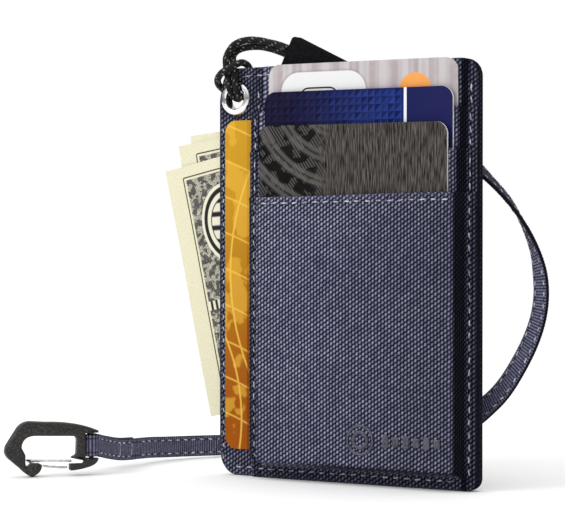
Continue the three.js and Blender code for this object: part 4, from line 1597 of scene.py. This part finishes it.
def panel_stitches():
    """The stitches of the panels, as pieces by the name of their row."""
    made = {}
    seam = []
    stitch_row(seam, pockets["front_pocket"][1], -1, (STACK_LEFT + 1.2, SEAM_Z), (SEAM_X - 1, SEAM_Z))
    seam += upright_row(SEAM_X, SEAM_Z + 1, 4)
    made["seam"] = stitch_mesh("seam_stitching", seam, "seam_thread")
    made["column"] = stitch_mesh("column_stitching", upright_row(COLUMN_X, SEAM_Z + 2, 3), "column_thread")

    border = []
    stitch_row(border, under_card, -1, (BORDER_X, 3), (BORDER_X, 93))
    stitch_row(border, base_front, -1, (STACK_LEFT - 3.6, TOP_ROW_Z), (STACK_LEFT, TOP_ROW_Z))
    stitch_row(border, base_front, -1, (-33.5, SEAM_Z), (STACK_LEFT, SEAM_Z))
    made["border"] = stitch_mesh("border_stitching", border, "left_edge_thread")
    made["hem"] = stitch_mesh("hem_stitching", hem_rows(), "front_hem_thread")

    behind = []
    for start, end in back_rows():
        stitch_row(behind, back_rear, 1, start, end)
    made["back"] = stitch_mesh("back_stitching", behind)
    return made


sewing = panel_stitches()

# ---------- the eyelet ----------


def lathe(name, node, profile, segments=72):
    """A ring about the eyelet's axis from its [radius, y] profile, rounded along its corners."""
    closed = np.array(profile, float)
    rounded = []
    for k in range(len(closed)):
        before = closed[k - 1]
        here = closed[k]
        after = closed[(k + 1) % len(closed)]
        cut = min(0.14, np.linalg.norm(here - before) / 3, np.linalg.norm(after - here) / 3)
        start = here + (before - here) / np.linalg.norm(before - here) * cut
        end = here + (after - here) / np.linalg.norm(after - here) * cut
        for t in (0, 0.33, 0.67, 1):
            rounded.append((1 - t) ** 2 * start + 2 * t * (1 - t) * here + t * t * end)
    points = []
    for k in range(segments):
        angle = 2 * math.pi * k / segments
        for radius, y in rounded:
            points.append((EYELET_X + radius * math.cos(angle), y, EYELET_Z + radius * math.sin(angle)))
    count = len(rounded)
    faces = []
    for k in range(segments):
        for j in range(count):
            a = k * count + j
            b = k * count + (j + 1) % count
            c = ((k + 1) % segments) * count + (j + 1) % count
            d = ((k + 1) % segments) * count + j
            faces.append((a, b, c, d))
    made = make_object(name, points, faces)
    weld(made)
    return place(made, "wallet", "eyelet_metal", NICKEL, node)


FLANGE_BACK = BASE_Y[0] - 0.2
lathe("eyelet_ring", "eyelet_front", [
    (EYELET_HOLE, 2.4), (EYELET_HOLE, FLANGE_BACK - 0.3), (EYELET_HOLE + 0.25, FLANGE_BACK - 0.58),
    (EYELET_HOLE + 0.75, FLANGE_BACK - 0.66), (EYELET_FLANGE - 0.4, FLANGE_BACK - 0.5),
    (EYELET_FLANGE, FLANGE_BACK - 0.05), (EYELET_FLANGE - 0.15, FLANGE_BACK + 0.05),
    (EYELET_BARREL, FLANGE_BACK + 0.05), (EYELET_BARREL, 2.4),
])
lathe("eyelet_back_ring", "eyelet_washer", [
    (EYELET_BARREL + 0.05, BACK_Y[1] - 0.1), (EYELET_FLANGE + 0.2, BACK_Y[1] - 0.1),
    (EYELET_FLANGE + 0.2, BACK_Y[1] + 0.25), (EYELET_FLANGE - 0.2, BACK_Y[1] + 0.48),
    (EYELET_BARREL + 0.05, BACK_Y[1] + 0.48),
])

# ---------- the raised mark ----------

MARK_X = 7.5
MARK_Z = 11.6
MARK_RADIUS = 3.9
MARK_BAR_LEFT = 13.8
MARK_BAR_RIGHT = 31.0
MARK_BAR_HEIGHT = 3.2
MARK_FRONT = -6.78
MARK_BACK = -6.3


def ring_outline(radius, count=64):
    return [(MARK_X + radius * math.cos(2 * math.pi * k / count),
             MARK_Z + radius * math.sin(2 * math.pi * k / count)) for k in range(count)]


def add_mark():
    half = (MARK_BACK - MARK_FRONT) / 2
    middle = (MARK_BACK + MARK_FRONT) / 2

    def flat_place(u, v, out):
        return (u, middle - out, v)

    rings = []
    for outer, inner in ((MARK_RADIUS, MARK_RADIUS - 0.62), (2.35, 1.5)):
        outlines = [ring_outline(outer), ring_outline(inner)[::-1]]
        rings.append(bevelled_plate("mark_part", outlines, half, 0.2, flat_place))
    ring = join_objects("mark_rings", rings)
    place(ring, "wallet", "mark", MARK, "mark_ring")

    bars = []
    count = 6
    pitch = (MARK_BAR_RIGHT - MARK_BAR_LEFT) / count
    for k in range(count):
        left = MARK_BAR_LEFT + k * pitch
        height = MARK_BAR_HEIGHT * (1.0 if k % 2 == 0 else 0.72)
        right = left + pitch * 0.62
        outline = rounded_box_outline(left, MARK_Z - height / 2, right, MARK_Z + height / 2, 0.5)
        bars.append(bevelled_plate("mark_part", [outline], half, 0.2, flat_place))
    bar = join_objects("mark_bars", bars)
    place(bar, "wallet", "mark", MARK, "mark_bar")


add_mark()

# ---------- card prints ----------

CARDS = {
    "gold": (-35.9, 6.9, -1.14),
    "grey": (-21.6, 20.8, -2.6),
    "blue": (-22.0, 13.7, -4.1),
    "black": (-22.8, 5.0, -5.6),
}


def card_place(look, name):
    """The place on a card, in millimetres from its left and bottom edges."""
    left, bottom, _ = CARDS[name]
    x, _, z = look.split(look.place)
    return x - left, z - bottom


def card_print(name):
    """A new look for a card's face, with the place on the card."""
    look = Look(name + "_card_print", roughness=0.34, specular=0.06)
    return look, *card_place(look, name)


def rounded_panel(look, u, v, left, bottom, right, top, radius):
    """Distance outside a rounded rectangle, negative inside."""
    du = abs(u - (left + right) / 2) - ((right - left) / 2 - radius)
    dv = abs(v - (bottom + top) / 2) - ((top - bottom) / 2 - radius)
    out_u = look.math("MAXIMUM", du, 0.0)
    out_v = look.math("MAXIMUM", dv, 0.0)
    length = look.distance(out_u, out_v, 0.0, 0.0)
    inner = look.math("MINIMUM", look.math("MAXIMUM", du, dv), 0.0)
    return length + inner - radius


def finish_card(look, colour):
    """Faint smears and fine scratches along the card."""
    smear = look.noise(look.place, 90, 3.0)
    x, y, z = look.split(look.place)
    scratch = look.noise(look.join(x * 4.0, y, z * 0.4), 1.2, 4.0)
    look.colour(look.mix(look.step(smear, 0.3, 0.7, 0.0, 0.003), colour, linear(255, 255, 255)))
    look.rough(look.step(scratch, 0.35, 0.7, 0.28, 0.34))
    look.bump(scratch, 0.0015)
    return look.material


def grey_print():
    look, u, v = card_print("grey")
    fine = look.noise(look.place, 260, 3.0)
    ground = look.mix(look.stripes(u, 5.6, 0.5, 0.06), linear(168, 157, 159), linear(192, 186, 187))
    ground = look.mix(look.stripes(u + 1.3, 3.3, 0.3, 0.2), ground, linear(180, 172, 174))
    ground = look.mix(look.step(fine, 0.4, 0.65, 0.0, 0.25), ground, linear(198, 191, 192))
    label = rounded_panel(look, u, v, 3.7, 30.0, 28.6, 83.4, 5.2)
    ground = look.mix(look.step(label, -0.05, 0.75, 0.5, 0.0), ground, linear(120, 112, 114))
    ground = look.mix(look.step(label, -0.12, 0.12, 1.0, 0.0), ground, linear(222, 222, 222))
    frame_line = abs(rounded_panel(look, u, v, 9.3, 36.0, 20.5, 79.3, 2.6))
    ground = look.mix(look.step(frame_line, 0.12, 0.3, 1.0, 0.0), ground, linear(24, 24, 26))
    disc = look.distance(u, v, 42.5, 77.6)
    ground = look.mix(look.step(disc, 4.5, 4.7, 1.0, 0.0), ground, linear(234, 160, 84))
    return finish_card(look, ground)


def blue_print():
    look, u, v = card_print("blue")
    cell = 1.9
    column = look.math("FLOOR", u / cell)
    row = look.math("FLOOR", v / cell)
    fu = look.math("FRACT", u / cell)
    fv = look.math("FRACT", v / cell)
    upper = look.step(fu - fv, -0.06, 0.06)
    tone = look.chance(look.join(column, row, upper))
    bright = look.step(u, 4.0, 40.0)
    dark = look.mix(bright, linear(6, 5, 26), linear(8, 18, 70))
    light = look.mix(bright, linear(24, 19, 58), linear(34, 56, 128))
    triangles = look.mix(upper * 0.55 + tone * 0.45, dark, light)
    plain = linear(24, 28, 78)
    ground = look.mix(look.step(u, 40.3, 40.5), triangles, plain)
    ground = look.mix(look.inside(u, 40.5, 41.3, 0.06), ground, linear(226, 228, 236))
    return finish_card(look, ground)


def black_print():
    look, u, v = card_print("black")
    centre = look.distance(u, v, 24.0, 96.0)
    wobble = look.noise(look.place, 420, 4.0)
    rings = centre + wobble * 0.5
    broad = look.stripes(rings, 6.4, 0.5, 0.05)
    fine = look.stripes(rings, 1.6, 0.4, 0.1)
    hatch = look.stripes(u + v * 0.7, 0.9, 0.5, 0.2)
    scrolls = look.step(look.noise(look.place, 330, 2.0), 0.48, 0.52)
    ornament = look.mix(broad, linear(10, 9, 10), linear(76, 73, 70))
    ornament = look.mix(fine * 0.7, ornament, linear(14, 13, 14))
    ornament = look.mix(hatch * scrolls * 0.6, ornament, linear(100, 98, 96))
    grain = look.noise(look.join(u * 2.4, 0.0, v * 0.16), 1.6, 4.0)
    weave = look.stripes(u, 0.9, 0.45, 0.2)
    brushed = look.mix(look.step(grain, 0.35, 0.68), linear(22, 18, 15), linear(100, 95, 92))
    brushed = look.mix(weave * 0.25, brushed, linear(16, 14, 13))
    side = look.step(u + wobble * 6.0, 19.0, 25.0)
    return finish_card(look, look.mix(side, ornament, brushed))


def gold_print():
    look, u, v = card_print("gold")
    ground = look.mix(look.step(v, 5.0, 84.0), linear(152, 78, 6), linear(192, 144, 34))
    land = look.step(look.noise(look.place, 55, 4.0), 0.54, 0.56)
    ground = look.mix(land * 0.55, ground, linear(220, 170, 60))
    spread = look.step(u, 5.0, 54.0, 0.0, 0.35)
    ground = look.mix(spread, ground, linear(160, 84, 6))
    bend = u * u * 0.01
    level = v + u * 0.32 + bend
    lines = look.stripes(level, 9.4, 0.05, 0.025)
    arc = abs(look.distance(u, v, 62.0, 46.0) - 60.4)
    arc = look.step(arc, 0.15, 0.4, 1.0, 0.0)
    second = abs(look.distance(u, v, -42.0, 8.0) - 47.0)
    second = look.step(second, 0.15, 0.4, 1.0, 0.0)
    pale = look.math("MAXIMUM", lines, look.math("MAXIMUM", arc, second))
    ground = look.mix(pale * 0.75, ground, linear(232, 186, 78))
    low_down = look.step(v, 30.0, 60.0, 0.75, 0.2)
    shadow = look.inside(u, 6.7, 9.6, 0.2) * low_down
    ground = look.mix(shadow, ground, linear(112, 52, 4))
    return finish_card(look, ground)


def card_edge_look(name, colour):
    """The layers that a card is pressed from."""
    look = Look(name + "_card_edge", roughness=0.45)
    layers = look.stripes(look.split(look.place)[1], 0.25, 0.3, 0.2)
    grain = look.noise(look.place, 800, 2.0)
    shade = (layers + grain) * 0.12
    look.colour(look.mix(shade, colour, linear(110, 110, 112)))
    look.bump(layers, 0.03)
    return look.material


def card_back_look(name, colour):
    """The reverse: plain with a dark stripe along the long side and a pale panel, both blank."""
    look = Look(name + "_card_back", roughness=0.3, coat=0.15)
    u, v = card_place(look, name)
    tone = look.noise(look.place, 60, 3.0)
    ground = look.mix(look.step(tone, 0.3, 0.7, 0.0, 0.2), colour, linear(200, 200, 204))
    ground = look.mix(look.inside(u, 4.5, 15.5, 0.08), ground, linear(20, 18, 18))
    panel = look.inside(u, 20.0, 28.5, 0.08) * look.inside(v, 8.0, 62.0, 0.08)
    ground = look.mix(panel, ground, linear(232, 230, 224))
    return finish_card(look, ground)


def card_mesh(name):
    """A card with rounded corners; its looks are for the front, the edge and the back."""
    left, bottom, front = CARDS[name]
    outline = rounded_box_outline(left, bottom, left + CARD_WIDTH, bottom + CARD_HEIGHT, CARD_CORNER, 12)
    made = domed_plate(name + "_bank_card", outline, front, front + CARD_THICKNESS, rings=1, edge=0.09)
    kinds = []
    for face in made.data.polygons:
        kinds.append(0 if face.normal.y < -0.8 else 2 if face.normal.y > 0.8 else 1)
    made.data.polygons.foreach_set("material_index", kinds)
    return made


CARD_LOOKS = {
    "gold": (gold_print, linear(214, 150, 50), linear(226, 176, 70)),
    "grey": (grey_print, linear(244, 244, 246), linear(196, 190, 192)),
    "blue": (blue_print, linear(240, 241, 246), linear(40, 50, 110)),
    "black": (black_print, linear(240, 240, 242), linear(44, 44, 46)),
}

for card, (print_look, edge_colour, back_colour) in CARD_LOOKS.items():
    looks = [print_look(), card_edge_look(card, edge_colour), card_back_look(card, back_colour)]
    place(card_mesh(card), card + "_card", card + "_card", looks, "card_" + card)

# ---------- banknotes ----------

NOTES = {
    "front": (-55.9, 79.5, 12.5, 0.62),
    "middle": (-51.9, 86.2, 9.5, 0.92),
    "rear": (-48.3, 88.9, 6.0, 1.22),
}
NOTE_LENGTH = 70
NOTE_HEIGHT = 66.3
NOTE_PAPER = 0.1


def note_look():
    """Cream paper with a dark engraved border, a rosette and hatching, without any wording."""
    look = Look("engraved_paper", roughness=0.85, specular=0.25)
    u, v, _ = look.split(look.run, 1.0)
    fibre = look.noise(look.join(u, v), 2.6, 4.0, 0.7)
    paper = look.mix(look.step(fibre, 0.42, 0.7), linear(222, 218, 190), linear(204, 199, 170))
    ink = linear(30, 28, 30)
    grey = linear(110, 108, 102)
    pale = linear(226, 222, 200)
    border = rounded_panel(look, u, v, 5.2, -63.6, 96.0, -3.1, 0.3)
    line = look.step(abs(border - 0.1), 0.08, 0.24, 1.0, 0.0)
    field = look.step(border, -0.75, -0.55, 1.0, 0.0)
    curl = look.noise(look.join(u, v), 0.75, 3.0)
    hatch = look.stripes(u + curl * 6.0, 0.55, 0.5, 0.2)
    leaves = look.step(look.noise(look.join(u, v), 0.6, 2.0), 0.46, 0.54)
    ground = look.mix(hatch, grey, ink)
    ground = look.mix(leaves * 0.75, ground, look.mix(hatch, pale, grey))
    rosette = look.distance(u * 1.25, v, 21.0, -17.5)
    shells = look.stripes(rosette, 2.6, 0.5, 0.06)
    disc = look.step(rosette, 10.6, 10.8, 1.0, 0.0)
    ground = look.mix(disc, ground, look.mix(shells, ink, pale))
    core = look.step(rosette, 6.7, 6.9, 1.0, 0.0)
    petals = look.stripes(v + u * 0.15, 3.6, 0.62, 0.08)
    ground = look.mix(core, ground, look.mix(petals, ink, pale))
    low_disc = look.distance(u * 1.25, v, 21.0, -51.0)
    low = look.step(low_disc, 8.6, 8.8, 1.0, 0.0)
    ground = look.mix(low, ground, look.mix(look.stripes(low_disc, 2.2, 0.5, 0.06), ink, pale))
    panel = look.inside(v, -39.0, -36.6, 0.08)
    ground = look.mix(panel, ground, look.mix(look.stripes(u, 1.5, 0.5, 0.1), ink, pale))
    colour = look.mix(field, paper, ground)
    colour = look.mix(line, colour, ink)
    look.colour(colour)
    look.rough(look.step(fibre, 0.3, 0.7, 0.75, 0.95))
    look.bump(fibre + field * hatch, 0.03)
    return look.material


def note_mesh(name):
    """A note folded once: two leaves that meet in the fold on the right, a little waved."""
    left, top, tilt, front = NOTES[name]
    angle = math.radians(tilt)
    seed = len(name)
    lead = 0.35
    columns = 60
    levels = 44
    steps = [NOTE_LENGTH * k / columns for k in range(columns)]
    path = [(u, 0) for u in steps] + [(NOTE_LENGTH, 0.5)] + [(u, 1) for u in steps[::-1]]
    points = []
    uvs = []
    for side in (-1, 1):
        for along, leaf in path:
            for j in range(levels + 1):
                down = NOTE_HEIGHT * j / levels
                x = left + along * math.cos(angle) + down * math.sin(angle)
                z = top + along * math.sin(angle) - down * math.cos(angle)
                free = float(smooth_step((LEFT - 0.5 - x) / 12))
                bow = 0.45 * free * math.sin(0.11 * down + seed)
                gap = free * (0.1 + lead * leaf * (0.6 + 0.4 * math.sin(0.09 * down + 2 * seed)))
                y = front + 0.06 + 0.12 * leaf + bow * 0.3 + gap * (1 if leaf > 0.5 else -0.3)
                y += side * NOTE_PAPER / 2 * (1 if leaf < 0.5 else -1 if leaf > 0.5 else 0)
                along_out = along + (side * NOTE_PAPER / 2 if leaf == 0.5 else 0)
                x_out = x + (along_out - along) * math.cos(angle)
                points.append((x_out, y, z))
                uvs.append((along if leaf <= 0.5 else 2 * NOTE_LENGTH - along, -down))
    layers = np.array(points).reshape(2, len(path), levels + 1, 3)
    points, faces = closed_sheet(layers[0], layers[1])
    made = make_object(name + "_banknote", points, faces, uvs=uvs)
    weld(made, 0.0000001)
    return made


NOTE = note_look()
papers = []
for note in NOTES:
    papers.append(place(note_mesh(note), note + "_note", "note_paper", NOTE, "banknote_" + note))

# ---------- the sheets ----------


def declare_sheets():
    """Each sewn panel, the lining and the folded notes, with the size each is cut to."""
    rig.sheet(
        base, (WIDTH * MM, HEIGHT * MM), "stretched", rests_on=["back_cloth"], with_pieces=[sewing["border"]]
    )
    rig.sheet(
        rear, (WIDTH * MM, HEIGHT * MM), "stretched", rests_on=["base_cloth"], with_pieces=[sewing["back"]]
    )
    lining_size = ((RIGHT - LINING_BOTTOM - LINING_LEFT) * MM, (LINING_TOP - LINING_BOTTOM) * MM)
    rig.sheet(foil, lining_size, "stretched", rests_on=["base_cloth"])
    threads = {"front_pocket": [sewing["seam"], sewing["column"], sewing["hem"]]}
    for name, (sheet_piece, _) in pockets.items():
        flat = ((RIGHT - STACK_LEFT) * MM, POCKETS[name][3] * MM)
        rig.sheet(sheet_piece, flat, "stretched", rests_on=["base_cloth"], with_pieces=threads.get(name, []))
    for paper in papers:
        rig.sheet(paper, (2 * NOTE_LENGTH * MM, NOTE_HEIGHT * MM), "folded", rests_on=["back_cloth"])


declare_sheets()

# ---------- studio ----------


def add_floor():
    size = 6.0
    mesh = bpy.data.meshes.new("floor")
    corners = [(-size, -size, 0), (size, -size, 0), (size, size, 0), (-size, size, 0)]
    mesh.from_pydata(corners, [], [(0, 1, 2, 3)])
    floor = bpy.data.objects.new("floor", mesh)
    bpy.context.scene.collection.objects.link(floor)
    floor.data.materials.append(floor_look())
    floor.location.z = -0.0001
    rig.stage(floor)


def add_light(name, spot, target, size, power):
    data = bpy.data.lights.new(name, "AREA")
    data.shape = "RECTANGLE"
    data.size, data.size_y = size
    data.energy = power
    light = bpy.data.objects.new(name, data)
    bpy.context.scene.collection.objects.link(light)
    light.location = spot
    aim = Vector(target) - Vector(spot)
    light.rotation_euler = aim.to_track_quat("-Z", "Y").to_euler()


SKY_LOW = 0.06
SKY_HIGH = 1.62
KEY_POWER = 1.5


def add_studio():
    world = bpy.data.worlds.new("studio")
    bpy.context.scene.world = world
    world.use_nodes = True
    tree = world.node_tree
    background = tree.nodes["Background"]
    background.inputs["Color"].default_value = (1, 1, 1, 1)
    # A large soft box overhead: the sky is bright above and falls off towards the horizon, and
    # the backdrop itself is plain white.
    heading = tree.nodes.new("ShaderNodeTexCoord")
    parts = tree.nodes.new("ShaderNodeSeparateXYZ")
    tree.links.new(heading.outputs["Generated"], parts.inputs[0])
    sky = tree.nodes.new("ShaderNodeMapRange")
    sky.inputs["To Min"].default_value = SKY_LOW
    sky.inputs["To Max"].default_value = SKY_HIGH
    tree.links.new(parts.outputs[2], sky.inputs["Value"])
    path = tree.nodes.new("ShaderNodeLightPath")
    choice = tree.nodes.new("ShaderNodeMix")
    choice.data_type = "FLOAT"
    tree.links.new(path.outputs["Is Camera Ray"], choice.inputs[0])
    tree.links.new(sky.outputs[0], choice.inputs[2])
    choice.inputs[3].default_value = 1.0
    tree.links.new(choice.outputs[0], background.inputs["Strength"])
    add_light("key", (-0.32, -0.46, 0.34), (0, 0, 0.06), (0.3, 0.3), KEY_POWER)
    bpy.context.scene.view_settings.view_transform = "Standard"


add_floor()
add_studio()

# ---------- size ----------

with open("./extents.json", "w") as size_file:
    json.dump({"cad": cad_box, "visual": [list(corner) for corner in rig.bounds()]}, size_file)
